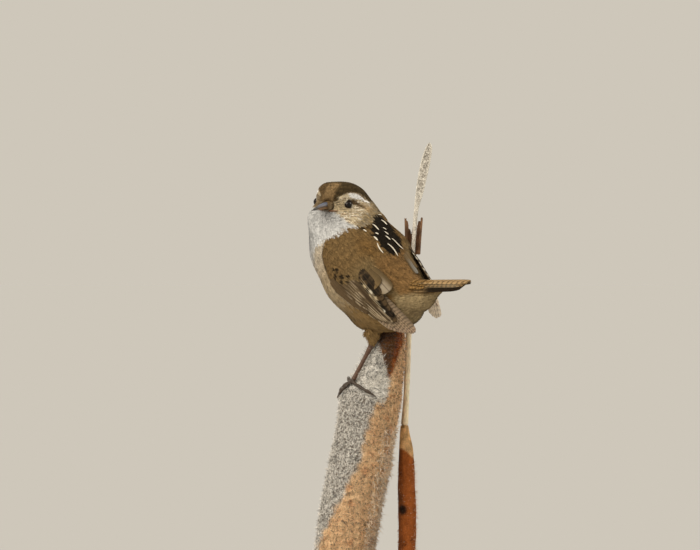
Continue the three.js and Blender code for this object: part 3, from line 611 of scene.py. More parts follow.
def shaped(name: str, around: int, rings: int, place: Callable[[Array, Array], Array]) -> bpy.types.Object:
    """A ball whose rings are laid out again into another closed shape.

    Args:
        name: the piece's name.
        around: how many sides it has.
        rings: how many steps from pole to pole.
        place: the point for a share of the way from pole to pole and an angle round.
    """
    bpy.ops.object.select_all(action="DESELECT")
    bpy.ops.mesh.primitive_uv_sphere_add(segments=around, ring_count=rings, radius=1)
    obj = bpy.context.object
    obj.name = name
    ball = corners(obj) * MM
    share = np.round(np.arccos(np.clip(ball[:, 2], -1, 1)) / math.pi * rings) / rings
    angle = np.arctan2(ball[:, 1], ball[:, 0])
    move_corners(obj, place(share, angle))
    in_edit(obj, lambda: bpy.ops.mesh.normals_make_consistent(inside=False))
    bpy.ops.object.shade_smooth()
    while obj.data.uv_layers:
        obj.data.uv_layers.remove(obj.data.uv_layers[0])
    chart(obj, "Vane", np.stack([np.cos(angle), share], axis=1))
    return obj


def rod(
    name: str, path: Array, radii: Callable[[Array], Array], around: int = 12, rings: int = 24, flat: float = 1.0
) -> bpy.types.Object:
    """A round rod along a path, its ends closed.

    Args:
        name: the piece's name.
        path: a smooth run of points.
        radii: the radius at a share of the way along.
        around: how many sides.
        rings: how many steps along.
        flat: how thick it is beside its width.
    """
    run = unit(np.gradient(path, axis=0))
    across = [unit(np.cross(run[0], np.array([0.31, 0.2, 0.93])))]
    for direction in run[1:]:
        last = across[-1] - direction * float(across[-1] @ direction)
        across.append(unit(last))
    sides = np.array(across)
    ups = np.cross(sides, run)
    lengths = along_path(path)

    def place(share: Array, angle: Array) -> Array:
        """The point of the rod's skin."""
        t = share * lengths[-1]
        middle, side, up = (read(t, lengths, rows) for rows in (path, sides, ups))
        side, up = unit(side), unit(up)
        r = radii(share) * closing(share)
        return middle + side * (np.cos(angle) * r)[:, None] + up * (np.sin(angle) * r * flat)[:, None]

    obj = shaped(name, around, rings, place)
    uv = np.zeros(len(obj.data.loops) * 2)
    obj.data.uv_layers["Vane"].data.foreach_get("uv", uv)
    uv[1::2] *= lengths[-1]
    obj.data.uv_layers["Vane"].data.foreach_set("uv", uv)
    return obj


def joined(name: str, pieces: Sequence[bpy.types.Object]) -> bpy.types.Object:
    """Several objects as one, named anew."""
    only(pieces[0])
    for piece in pieces[1:]:
        piece.select_set(True)
    bpy.ops.object.join()
    made = bpy.context.object
    made.name = name
    return made


def settle(obj: bpy.types.Object, finish: Finish, slot: str, *stands_for: str) -> bpy.types.Object:
    """Dresses a piece, lets it ride on the root and hides the solids that it stands for."""
    obj.data.materials.clear()
    obj.data.materials.append(finish.material())
    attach(obj, "root")
    if stands_for:
        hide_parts(*stands_for)
    LOG.info("%s: %d faces", obj.name, len(obj.data.polygons))
    return obj


@dataclass
class Blade:
    """One feather or hair modelled once, from which thousands are copied.

    Attributes:
        around: sides of its section.
        rings: steps from root to tip.
        outline: half width at a share of the length.
    """

    around: int
    rings: int
    outline: Callable[[Array], Array]
    across: Array = field(init=False)
    run: Array = field(init=False)
    face: Array = field(init=False)
    tris: Array = field(init=False)

    def __post_init__(self) -> None:
        """Shapes the one blade and keeps its corners and faces."""

        def place(share: Array, angle: Array) -> Array:
            """A flat blade whose thickness is one."""
            return np.stack(
                [np.cos(angle) * self.outline(share), share, 0.5 * np.sin(angle) * closing(share)], axis=1
            )

        obj = shaped("blade", self.around, self.rings, place)
        in_edit(obj, bpy.ops.mesh.quads_convert_to_tris)
        self.across, self.run, self.face = corners(obj).T
        tris = np.zeros(len(obj.data.polygons) * 3, np.int32)
        obj.data.polygons.foreach_get("vertices", tris)
        self.tris = tris.reshape(-1, 3)
        bpy.data.objects.remove(obj)


def copies(
    name: str, blade: Blade, places: Array, carried: dict[str, Array], charts: dict[str, Array], smooth: bool = True
) -> bpy.types.Object:
    """Many copies of a blade as one mesh.

    Args:
        name: the piece's name.
        blade: the one that is copied.
        places: the corners of every copy, by copy and corner.
        carried: attributes by copy and corner.
        charts: UV maps by copy and corner.
        smooth: whether their faces are shaded smooth.
    """
    many, each = places.shape[:2]
    tris = (blade.tris[None] + (np.arange(many) * each)[:, None, None]).reshape(-1, 3)
    mesh = bpy.data.meshes.new(name)
    mesh.vertices.add(many * each)
    mesh.vertices.foreach_set("co", (places * MM).astype(np.float32).ravel())
    mesh.loops.add(len(tris) * 3)
    mesh.loops.foreach_set("vertex_index", tris.ravel().astype(np.int32))
    mesh.polygons.add(len(tris))
    mesh.polygons.foreach_set("loop_start", np.arange(0, len(tris) * 3, 3, dtype=np.int32))
    mesh.polygons.foreach_set("use_smooth", np.full(len(tris), smooth))
    mesh.update(calc_edges=True)
    obj = bpy.data.objects.new(name, mesh)
    bpy.context.scene.collection.objects.link(obj)
    for key, values in carried.items():
        carry(obj, key, values.reshape(many * each, -1) if values.ndim > 2 else values.reshape(-1))
    for key, values in charts.items():
        chart(obj, key, values.reshape(-1, 2))
    return obj


def moved(root: Array, *moves: tuple[Array, Array]) -> Array:
    """Corners for each root: the root moved along each direction by an amount for every corner."""
    places = root[:, None]
    for direction, amount in moves:
        places = places + direction[:, None] * amount[..., None]
    return places


def patches(middle: Array, blade: Blade) -> Array:
    """A small patch of the bake map for each copy of a blade, round its own middle."""
    patch = np.stack([blade.across * 0.5, blade.run - 0.5], axis=1) * PATCH
    return middle[:, None] + patch[None]


def hairs(
    name: str,
    slot: str,
    finish: Finish,
    turned: tuple[Array, Array],
    strands: tuple[Array, ...],
    color: Array,
    fade: tuple[float, float] = (1.0, 0.0),
) -> None:
    """Many tapering hairs as one piece.

    Args:
        name: the piece's name.
        slot: a name for the material's slot; not used.
        finish: the hairs' finish.
        turned: each hair's angle round its stem and its height.
        strands: roots, directions, sides, bends, lengths and half widths, a row for each hair.
        color: the hairs' colours.
        fade: how bright they are at the root, and how much more at the tip; darker roots are painted shade down among
            the hairs.
    """
    blade = Blade(3, 4, lambda t: np.interp(t, [0, 0.5, 1], [1.0, 0.8, 0.0]))
    v = blade.run[None]
    root, run, side, bend, length, width = strands
    long, wide = length[:, None], width[:, None]
    up = np.cross(side, run)
    places = moved(root, (run, long * v), (bend, long * v**2), (side, wide * blade.across), (up, wide * blade.face))
    # darker at the root by fade: painted shade down among the hairs
    tint = np.broadcast_to(color[:, None] * (fade[0] + fade[1] * v)[..., None], places.shape)
    tint = tint / np.maximum(1, tint.max(axis=-1, keepdims=True) / 0.95)
    angle, z = turned
    middle = np.stack([angle / TURN, (z - STEM_SPAN[0]) / STEM_SPAN[1]], axis=1)
    obj = copies(name, blade, places, {"tint": tint}, {"OFBake": patches(middle, blade)})
    settle(obj, finish, slot)


def feathered(
    name: str, slot: str, node: str, blade: Blade, finish: Finish, rows: Sequence[tuple], room: int
) -> bpy.types.Object:
    """Long feathers as one piece.

    Args:
        name: the piece's name.
        slot: a name for the material's slot; not used.
        node: the CAD node that they stand for.
        blade: the feather that is copied.
        finish: their finish.
        rows: each feather's corners, colours, bars (strength, pitch, fringe), own number, hand and length.
        room: how many feathers the bake map has room for.
    """
    places, tints, bars, owns, hands, lengths = (np.array(column) for column in zip(*rows))
    many, each = places.shape[:2]
    carried = {
        "tint": tints,
        "pattern": np.repeat(bars[:, None], each, axis=1),
        "own": np.repeat(owns[:, None], each, axis=1),
    }
    vane = np.stack([hands[:, None] * blade.across, lengths[:, None] * blade.run], axis=2)
    cells = (np.arange(many)[:, None] + 0.5 + 0.42 * blade.across) / room
    bake = np.stack([cells, np.broadcast_to(0.02 + 0.96 * blade.run, cells.shape)], axis=2)
    obj = copies(name, blade, places, carried, {"Vane": vane, "OFBake": bake})
    return settle(obj, finish, slot, node)


# The bird's flesh and how its plumage lies


@dataclass
class Flesh:
    """The closed surface of the plumage over head, neck, body, thighs and shoulders, and the skin just inside it."""

    nodes: tuple[str, ...] = ("head", "neck", "torso", "thigh_left", "thigh_right")
    swell: float = 0.22
    cell: float = 0.45
    passes: int = 9
    depth: float = 0.45
    vent_radius: float = 7.6
    vent_root: float = -17.0
    vent_run: tuple = ((6, -7.2), (15, -3.4), (23, -1.1))
    survey_reach: tuple[float, float] = (15.0, 120.0)
    survey_step: tuple[float, float] = (0.5, 2.0)
    hollow_reach: float = 17.0
    wing_leaves: float = -14.0
    wing_tip: float = -38.5
    wing_tip_radius: float = 10.4
    shoulder_at: tuple[float, float] = (1.2, 60.0)
    shoulder_half: tuple[float, float] = (14.2, 34.0)
    shoulder_rise: float = 1.75

    def __post_init__(self) -> None:
        """Joins the solids of the flesh into one smooth closed surface, then adds the shoulders to it."""
        pieces = []
        for node in self.nodes:
            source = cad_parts[node]
            copy = bpy.data.objects.new(node + "_copy", source.data.copy())
            bpy.context.scene.collection.objects.link(copy)
            pieces.append(copy)
        pieces.append(self._vent())
        self._fuse(pieces, self.swell)
        self._survey()
        self._fuse([self.outer, self._shoulder(Side.LEFT), self._shoulder(Side.RIGHT)], 0.0)

    def _fuse(self, pieces: Sequence[bpy.types.Object], swell: float) -> None:
        """Makes one smooth skin of closed pieces that overlap.

        Args:
            pieces: the pieces, which are used up.
            swell: how much each is grown first.
        """
        self.outer = joined("plumage_form", pieces)
        in_edit(self.outer, lambda: bpy.ops.mesh.remove_doubles(threshold=1e-6))
        if swell:
            self.modify("DISPLACE", strength=swell * MM, mid_level=0.0)
        self.modify("REMESH", mode="VOXEL", voxel_size=self.cell * MM)
        self.modify("SMOOTH", factor=0.5, iterations=self.passes)
        self.outer.data.materials.clear()
        self.mesh_points = corners(self.outer)
        self.outer.data.calc_loop_triangles()
        tris = np.zeros(len(self.outer.data.loop_triangles) * 3, np.int32)
        self.outer.data.loop_triangles.foreach_get("vertices", tris)
        self.mesh_tris = tris.reshape(-1, 3)
        self.tree = BVHTree.FromPolygons(self.mesh_points.tolist(), self.mesh_tris.tolist())

    def _vent(self) -> bpy.types.Object:
        """The soft cone of vent and under-tail feathers below the tail."""
        middle = [TAIL.point(0, along_tail, low) for along_tail, low in self.vent_run]
        path = run_through([BODY.point(0, self.vent_root, 0), *middle], 30)
        return rod("vent", path, lambda t: self.vent_radius * np.maximum(1 - t, 0) ** 0.72 + 0.5, 28, 24)

    def _shoulder(self, side: Side) -> bpy.types.Object:
        """The low pad of shoulder feathers over the folded wing's front."""

        def place(share: Array, angle: Array) -> Array:
            """A ball flattened on the wing's own surface."""
            out = np.sin(share * math.pi)
            y = self.shoulder_at[0] + self.shoulder_half[0] * out * np.cos(angle)
            turn = self.shoulder_at[1] + self.shoulder_half[1] * out * np.sin(angle)
            up = np.cos(share * math.pi)
            high = self.shoulder_rise * (1 - out**3.2)
            return self.wing_point(side, y, turn, np.where(up > 0, high, 2.4 * up))

        return shaped("shoulder", 40, 24, place)

    def modify(self, kind: str, **settings: object) -> None:
        """Adds a modifier to the form and applies it."""
        only(self.outer)
        made = self.outer.modifiers.new(kind.lower(), kind)
        for key, value in settings.items():
            setattr(made, key, value)
        bpy.ops.object.modifier_apply(modifier=made.name)

    def _survey(self) -> None:
        """Notes how far the flesh reaches from the body's own axis, by place along it and angle."""
        ends, steps = self.survey_reach, self.survey_step
        self.survey_y, self.survey_angle = (np.arange(-end, end + 0.1, step) for end, step in zip(ends, steps))
        far = lambda y, angle: np.linalg.norm(self.over_axis(y, angle) - BODY.point(0, y, 0))
        self.reach_table = np.array([[far(y, angle) for angle in self.survey_angle] for y in self.survey_y])

    def over_axis(self, y: float, angle: float) -> Array:
        """The point of the form at a place along the body and degrees round from the back."""
        start = BODY.point(0, y, 0)
        a = math.radians(angle)
        ray = BODY.side * math.sin(a) + BODY.top * math.cos(a)
        hit = self.tree.ray_cast(Vector(start), Vector(ray))
        return np.array(hit[0]) if hit[0] is not None else start + self.hollow_reach * ray

    def reach(self, y: Array, angle: Array) -> Array:
        """How far the flesh reaches at places along the body and degrees round from the back."""
        fy = np.clip((y - self.survey_y[0]) / self.survey_step[0], 0, len(self.survey_y) - 1.001)
        fa = np.clip((angle - self.survey_angle[0]) / self.survey_step[1], 0, len(self.survey_angle) - 1.001)
        i, j = fy.astype(int), fa.astype(int)
        u, v = fy - i, fa - j
        t = self.reach_table
        here = t[i, j] * (1 - v) + t[i, j + 1] * v
        further = t[i + 1, j] * (1 - v) + t[i + 1, j + 1] * v
        return here * (1 - u) + further * u

    def wing_reach(self, side: Side, y: Array, angle: Array) -> Array:
        """How far the flesh reaches under the folded wing, the same all the way behind where the wing leaves it."""
        return self.reach(np.maximum(y, self.wing_leaves), side.value * angle)

    def wing_point(self, side: Side, y: Array, angle: Array, rise: Array) -> Array:
        """A point over the folded wing's own surface, which runs on behind the body."""
        y, angle, rise = np.broadcast_arrays(*(np.asarray(v, float) for v in (y, angle, rise)))
        near = self.wing_reach(side, y, angle)
        t = np.clip((self.wing_leaves - y) / (self.wing_leaves - self.wing_tip), 0, 1)
        r = near + (self.wing_tip_radius - near) * t**0.9 + rise
        a = np.radians(angle)
        return BODY.point(side.value * np.sin(a) * r, y, np.cos(a) * r)

    def nearest(self, p: Array) -> tuple[Array, Array]:
        """The nearest points of the form and the way it faces there."""
        spots, faces = np.zeros_like(p), np.zeros_like(p)
        for i, row in enumerate(p):
            place, normal, _, _ = self.tree.find_nearest(Vector(row))
            spots[i], faces[i] = place, normal
        return spots, faces

    def scatter(
        self, gap: Callable[[Array], Array], keep: Callable[[Array], Array], seed: int
    ) -> tuple[Array, Array]:
        """Roots spread evenly over the form.

        Args:
            gap: how far apart they are at given points.
            keep: which of the given points get one.
            seed: the random draw.

        Returns:
            The roots and the way the form faces at each.
        """
        rng = np.random.default_rng(seed)
        a, b, c = (self.mesh_points[self.mesh_tris[:, k]] for k in range(3))
        cross = np.cross(b - a, c - a)
        area = np.linalg.norm(cross, axis=1) / 2
        facing = unit(cross)
        middle = (a + b + c) / 3
        spacing = gap(middle)
        wanted = np.where(keep(middle), area / spacing**2, 0)
        count = int(wanted.sum() * 4)
        pick = rng.choice(len(area), count, p=wanted / wanted.sum())
        u, v = rng.random(count), rng.random(count)
        flip = u + v > 1
        u[flip], v[flip] = 1 - u[flip], 1 - v[flip]
        p = a[pick] + u[:, None] * (b - a)[pick] + v[:, None] * (c - a)[pick]
        near = spacing[pick]
        cells: dict[tuple[int, int, int], list[tuple[float, float, float]]] = {}
        kept = []
        keys = np.floor(p / float(near.max())).astype(int).tolist()
        steps = [(i, j, k) for i in (-1, 0, 1) for j in (-1, 0, 1) for k in (-1, 0, 1)]
        for i, (q, key, reach) in enumerate(zip(p.tolist(), keys, near.tolist())):
            limit = (reach * 0.82) ** 2
            x, y, z = key
            around = (o for s in steps for o in cells.get((x + s[0], y + s[1], z + s[2]), ()))
            if all((q[0] - o[0]) ** 2 + (q[1] - o[1]) ** 2 + (q[2] - o[2]) ** 2 >= limit for o in around):
                cells.setdefault((x, y, z), []).append(q)
                kept.append(i)
        return p[kept], facing[pick][kept]


class Lay:
    """Which way the plumage lies, and where the head's ends and the body's begins."""

    head_middle = (0, -9.5, -0.5)
    head_reach = (9.5, 16.5)
    bill_front = (0, 1.5, 0.2)
    lid_reach = (2.2, 4.0)

    @classmethod
    def headness(cls, p: Array) -> Array:
        """1 on the head, 0 on the body, softly between them."""
        return 1 - ease(*cls.head_reach, np.linalg.norm(p - HEAD.point(*cls.head_middle), axis=1))

    @classmethod
    def directions(cls, p: Array, facing: Array) -> Array:
        """The lay of the feathers, along the surface: back from the bill, down the body to the tail."""
        share = cls.headness(p)[:, None]
        from_bill = unit(p - HEAD.point(*cls.bill_front))
        body = BODY.local(p)
        down = np.broadcast_to(-BODY.ahead, p.shape)
        tail = ease(-10, -24, body[:, 1])[:, None] * ease(-14, 2, body[:, 2])[:, None]
        flow = down * (1 - tail) + TAIL_RUN * tail
        flow = unit(from_bill * share * 1.4 + flow * (1 - share))
        for hand in (-1, 1):
            away = p - HEAD.point(EYE_MIDDLE[0] * hand, *EYE_MIDDLE[1:])
            near = 1 - ease(*cls.lid_reach, np.linalg.norm(away, axis=1))[:, None]
            away = unit(away - facing * np.sum(away * facing, axis=1, keepdims=True))
            inward = np.minimum(np.sum(flow * away, axis=1, keepdims=True), 0)
            flow = flow - away * (inward - 0.15) * near
        flow = flow - facing * np.sum(flow * facing, axis=1, keepdims=True)
        return unit(flow)


class Markings:
    """The bird's colours, worked out for any point from where it lies on head and body."""

    back = tone("#715a39")
    back_dark = tone("#4e3c26")
    back_grey = tone("#7a6747")
    rufous = tone("#6d5029")
    rump = tone("#755936")
    flank = tone("#b09d7f")
    breast_side = tone("#bbae9a")
    belly = tone("#8b6d3f")
    vent = tone("#9e8a66")
    throat = tone("#babab9")
    crown = tone("#413521")
    forehead = tone("#7d6646")
    brow = tone("#ffffff")
    cheek = tone("#c8b99c")
    cheek_grey = tone("#938774")
    cheek_dark = tone("#755a3c")
    cheek_pale = tone("#f0e9da")
    ear = tone("#a98b60")
    lore = tone("#9c8d72")
    stripe = tone("#57442b")
    nape = tone("#7d6c4e")
    black = tone("#1b150d")
    collar = (
        (-180, 14), (-110, 14), (-85, 16.3), (-70, 14.3), (-56, 12.7), (-40, 10.9), (-29, 11.3), (-19, 9.6),
        (-9, 8.3), (5, 8.3), (12, 8.7), (18, 10.2), (30, 11.8), (41, 12.7), (55, 13.4), (70, 14.3),
        (85, 16.3), (110, 14), (180, 14),
    )
    crown_edge = ((-14.5, -13.5, -10.1, -6.5, -4.9, -3.1, -1.7, -0.7), (2.4, 4.1, 5.6, 6.0, 5.5, 4.3, 3.1, 1.9))
    brow_middle = ((-13.5, -10.5, -7.8, -5.6, -4, -2.5), (2.3, 4.0, 4.6, 4.9, 4.6, 3.9))
    brow_width = ((-14, -12, -9, -6.5, -5.2, -4.2, -2.5), (0.45, 0.7, 1.05, 1.0, 0.6, 0.4, 0.3))
    stripe_middle = ((-10.5, -8.7, -7.6, -5.8), (0.4, 1.1, 2.0, 2.6))
    stripe_width = ((-10.5, -8.5, -6), (0.6, 1.15, 1.0))
    wing_front = ((-5, 96), (2, 93), (7, 88), (10.5, 81), (12.6, 70), (15, 50))
    spots = (
        (0.3, 73.0, 1.0), (-0.8, 78.8, 0.9), (-3.3, 73.4, 1.15), (-5.2, 67.4, 0.85),
        (-4.5, 79.3, 0.85), (1.6, 76.5, 0.7), (-6.6, 73.0, 0.7), (-1.6, 83.5, 0.7),
    )

    @staticmethod
    def over(color: Array, share: Array, new: Array) -> Array:
        """A new colour laid over, as strong as its share."""
        return color * (1 - share[:, None]) + new * share[:, None]

    @classmethod
    def at(cls, p: Array) -> Array:
        """The colour at each point."""
        b = BODY.local(p)
        angle = np.degrees(np.arctan2(b[:, 0], b[:, 2]))
        edge = np.interp(angle, *zip(*cls.collar))
        under = ease(88, 105, np.abs(angle))
        wide = 0.7 + 3.2 * under
        jagged = 0.4 * ripple(p, 2.4, 3) + 0.9 * ripple(b * [1.0, 0.3, 1.0], 1.5, 4)
        head = ease(-1, 1, (b[:, 1] + jagged - edge) / wide)
        color = cls._body(p, b, angle)
        return cls.over(color, head, cls._head(p))

    @classmethod
    def mantle(cls, p: Array, b: Array, angle: Array) -> Array:
        """1 inside the black patch on the upper back, a triangle that points to the tail and turns with the neck."""
        middle = np.interp(b[:, 1], [-9, 3, 12], [9, 15, 33])
        half = np.interp(b[:, 1], [-10.5, -8.5, -5.5, 0, 6, 9, 11.5, 14], [2, 8, 19, 21, 22, 17, 12, 9])
        edge = half + 3.0 * ripple(p, 2.0, 5)
        within = ease(-10.6, -9.0, b[:, 1] + 0.9 * np.sin(np.radians(angle) * 26))
        return (1 - ease(-1.8, 1.8, np.abs(angle - middle) - edge)) * within

    @classmethod
    def _body(cls, p: Array, b: Array, angle: Array) -> Array:
        """The colours behind the collar."""
        round_back = np.abs(angle)
        y = b[:, 1]
        mottle = ripple(p, 3.1, 1) * 0.5 + ripple(p, 1.4, 2) * 0.5
        fine = ripple(p, 0.8, 7)
        streak = ripple(b * [1.0, 0.28, 1.0], 0.95, 8)
        color = cls.back * (1 + 0.14 * mottle + 0.08 * fine + 0.22 * streak)[:, None]
        color = cls.over(color, 0.45 * ease(0.1, 0.8, mottle), cls.back_dark * (1 + 0.2 * streak[:, None]))
        warm = spot(np.hypot((y + 1) / 1.6, (round_back - 24) / 3.4), 6.5, 0.9)
        color = cls.over(color, 0.6 * warm, cls.rufous * (1 + 0.1 * fine + 0.25 * streak)[:, None])
        grey = (1 - ease(-9, -1, y)) * ease(24, 34, round_back)
        color = cls.over(color, 0.8 * grey, cls.back_grey * (1 + 0.12 * mottle + 0.2 * streak)[:, None])
        low_back = (1 - ease(-10, -5, y)) * (1 - ease(26, 36, round_back))
        color = cls.over(color, low_back, cls.rump * (1 + 0.16 * mottle + 0.1 * fine + 0.25 * streak)[:, None])
        front = np.interp(y, *zip(*cls.wing_front))
        side = ease(-2.5, 2.5, round_back - front)
        flank = cls.over(np.broadcast_to(cls.flank, p.shape), ease(2, 12, y), cls.breast_side)
        color = cls.over(color, side, flank * (1 + 0.1 * mottle + 0.06 * fine + 0.14 * streak)[:, None])
        rear = (1 - ease(-16, 0, y)) * ease(86, 98, round_back) * ease(-0.9, 0.6, mottle - 0.09 * (y + 8))
        color = cls.over(color, 0.85 * rear, cls.belly * (1 + 0.2 * mottle[:, None]))
        # painted shade along the fold where the folded wing's front meets the flank
        crease = spot(np.abs(round_back - front - 0.5), 3.2, 0.8) * ease(-6, -2, y) * (1 - ease(12, 14, y))
        color = color * (1 - 0.45 * crease)[:, None]
        t = TAIL.local(p)
        arc = t[:, 1] + 0.35 * np.maximum(-8 - t[:, 2], 0)
        below = (1 - ease(-4.2, -1.6, t[:, 2] + 0.04 * t[:, 1])) * ease(0.2, 2.6, arc)
        bars = 0.5 + 0.5 * np.sin((t[:, 1] * 0.8 - t[:, 2] * 0.6) * 1.9 + 1.2 * mottle)
        vent = cls.vent * (1.05 - 0.22 * bars + 0.12 * mottle)[:, None]
        color = cls.over(color, below, vent)
        rust = spot(np.abs(arc + 0.6), 3.0, 0.8) * (1 - ease(-2.5, -0.5, t[:, 2])) * ease(-14, -9, t[:, 2])
        curl = 0.5 + 0.5 * np.sin(arc * 4.5 + 1.5 * mottle)
        color = cls.over(color, 0.85 * rust, cls.rufous * (0.6 + 0.5 * curl[:, None]))
        for at_y, at_angle, radius in cls.spots:
            away = np.hypot(y - at_y, np.radians(round_back - at_angle) * 18.5)
            color = cls.over(color, 0.9 * spot(away, radius * 1.25, 0.5), cls.black)
        flecks = spot(np.hypot((y - 8) / 3.2, (angle + 8) / 11), 1.0, 0.6)
        flecks = flecks * ease(0.0, 0.35, ripple(b * [1.0, 0.4, 1.0], 1.6, 9))
        color = cls.over(color, 0.85 * flecks, cls.black)
        return cls.over(color, cls.mantle(p, b, angle), cls.black * (1 + 0.3 * fine[:, None]))

    @classmethod
    def _head(cls, p: Array) -> Array:
        """The colours of the head, in the frame of the bill's root."""
        h = HEAD.local(p)
        x, y, z = np.abs(h[:, 0]), h[:, 1], h[:, 2]
        mottle = ripple(p, 1.5, 4)
        fine = ripple(p, 0.8, 6)
        tiny = ripple(p, 0.95, 12) + 0.5 * ripple(p, 0.5, 13)
        color = cls.cheek * (1 + 0.1 * fine[:, None])
        color = cls.over(color, 0.75 * ease(0.15, 0.8, tiny), cls.cheek_dark)
        color = cls.over(color, 0.8 * ease(-0.15, -0.7, tiny), cls.cheek_pale)
        grey = ease(0.1, 0.8, mottle) * ease(-12, -6, y)
        color = cls.over(color, 0.6 * grey, cls.cheek_grey)
        ear = spot(np.hypot((y + 11) / 1.4, (z + 0.2) / 1.2), 2.6, 0.8)
        color = cls.over(color, 0.7 * ear, cls.ear * (1 + 0.2 * fine[:, None]))
        color = color * (1 - 0.22 * ease(-9, -12, y))[:, None]
        behind = np.maximum(1 - ease(-15.5, -12.5, y + 0.3 * np.minimum(z + 2, 0)), ease(13.0, 16.0, x))
        color = cls.over(color, 0.85 * behind, cls.nape * (1 + 0.5 * mottle + 0.3 * tiny)[:, None])
        chin = 1 - ease(-0.7, 0.7, z + 1.6 + 0.42 * np.maximum(x - 2.4, 0) + 0.4 * mottle)
        throat = 1 + 0.03 * fine + 0.03 * mottle + 0.18 * ease(-6, -13, z)
        color = cls.over(color, chin, cls.throat * throat[:, None])
        lore = spot(np.hypot(y + 1.6, (z - 0.4) * 1.1), 3.4, 0.5)
        specks = ease(0.15, 0.6, fine + 0.4 * mottle)
        color = cls.over(color, lore, cls.lore * (1.55 - 0.75 * specks[:, None]))
        line, thick = np.interp(y, *cls.stripe_middle), np.interp(y, *cls.stripe_width)
        stripe = (1 - ease(-0.4, 0.4, np.abs(z - line) - thick)) * ease(-11, -9.4, y)
        stripe = stripe * (1 - ease(-6.6, -5.6, y)) * ease(3, 4, x)
        color = cls.over(color, 0.92 * stripe, cls.stripe * (1 + 0.2 * fine[:, None]))
        edge = np.interp(y, *cls.crown_edge)
        crown = ease(-0.4, 0.5, z + 0.25 * mottle - edge + 0.05 * (8 - x) * ease(-4, -1, y))
        dark = cls.crown * (1 + 0.3 * mottle + 0.15 * fine)[:, None]
        warm = (1 - ease(1.9, 3.4, np.abs(h[:, 0] - 0.4) + 0.35 * mottle)) * ease(-9.5, -6.5, y)
        dark = cls.over(dark, 0.9 * warm, cls.forehead * (1 + 0.3 * mottle + 0.35 * tiny)[:, None])
        color = cls.over(color, crown, dark)
        base = spot(np.hypot(x * 0.9, y + 0.6), 2.9, 0.4) * ease(0.6, 1.8, z)
        color = cls.over(color, base, cls.forehead * (0.95 + 0.25 * fine[:, None]))
        brow_line, brow_half = np.interp(y, *cls.brow_middle), np.interp(y, *cls.brow_width)
        brow = (1 - ease(-0.28, 0.28, np.abs(z - brow_line) - brow_half)) * ease(3.4, 4.6, x)
        brow = brow * ease(-14.8, -13.2, y) * (1 - ease(-2.2, -1.4, y))
        broken = 1 - 0.7 * ease(-10.5, -11.5, y) * ease(0.1, 0.5, fine)
        bright = 1 - ease(-6.2, -4.8, y)
        pale = cls.cheek * (1 - bright[:, None]) + cls.brow * bright[:, None]
        between = ease(3.4, 5.0, x) * ease(brow_line - 0.2, brow_line + 0.4, z) * (1 - crown)
        between = between * ease(-14, -12, y) * (1 - ease(-3.5, -2, y))
        color = cls.over(color, 0.85 * between, cls.forehead * (0.95 + 0.3 * fine[:, None]))
        color = cls.over(color, brow * broken, pale)
        low = ease(2.0, 3.0, h[:, 0]) * (1 - ease(-1.6, -0.6, z))
        color = cls.over(color, low, cls.throat * (1 + 0.07 * fine[:, None]))
        far = ease(2.2, 3.6, h[:, 0]) * ease(-1.6, -0.6, z) * (1 - 0.6 * brow) * ease(-9, -7, y)
        return cls.over(color, 0.75 * far, cls.stripe * (1.1 + 0.3 * fine[:, None]))


def bake_chart(roots: Array, blade: Blade) -> Array:
    """A small patch for each feather at its root's place on an unwrap of the body's own shape."""
    b = BODY.local(roots)
    turn = np.arctan2(b[:, 0], b[:, 2]) / TURN + 0.5
    length = np.clip((b[:, 1] - BODY_SPAN[0]) / BODY_SPAN[1], 0.01, 0.99)
    return patches(np.stack([0.01 + 0.98 * turn, length], axis=1), blade)


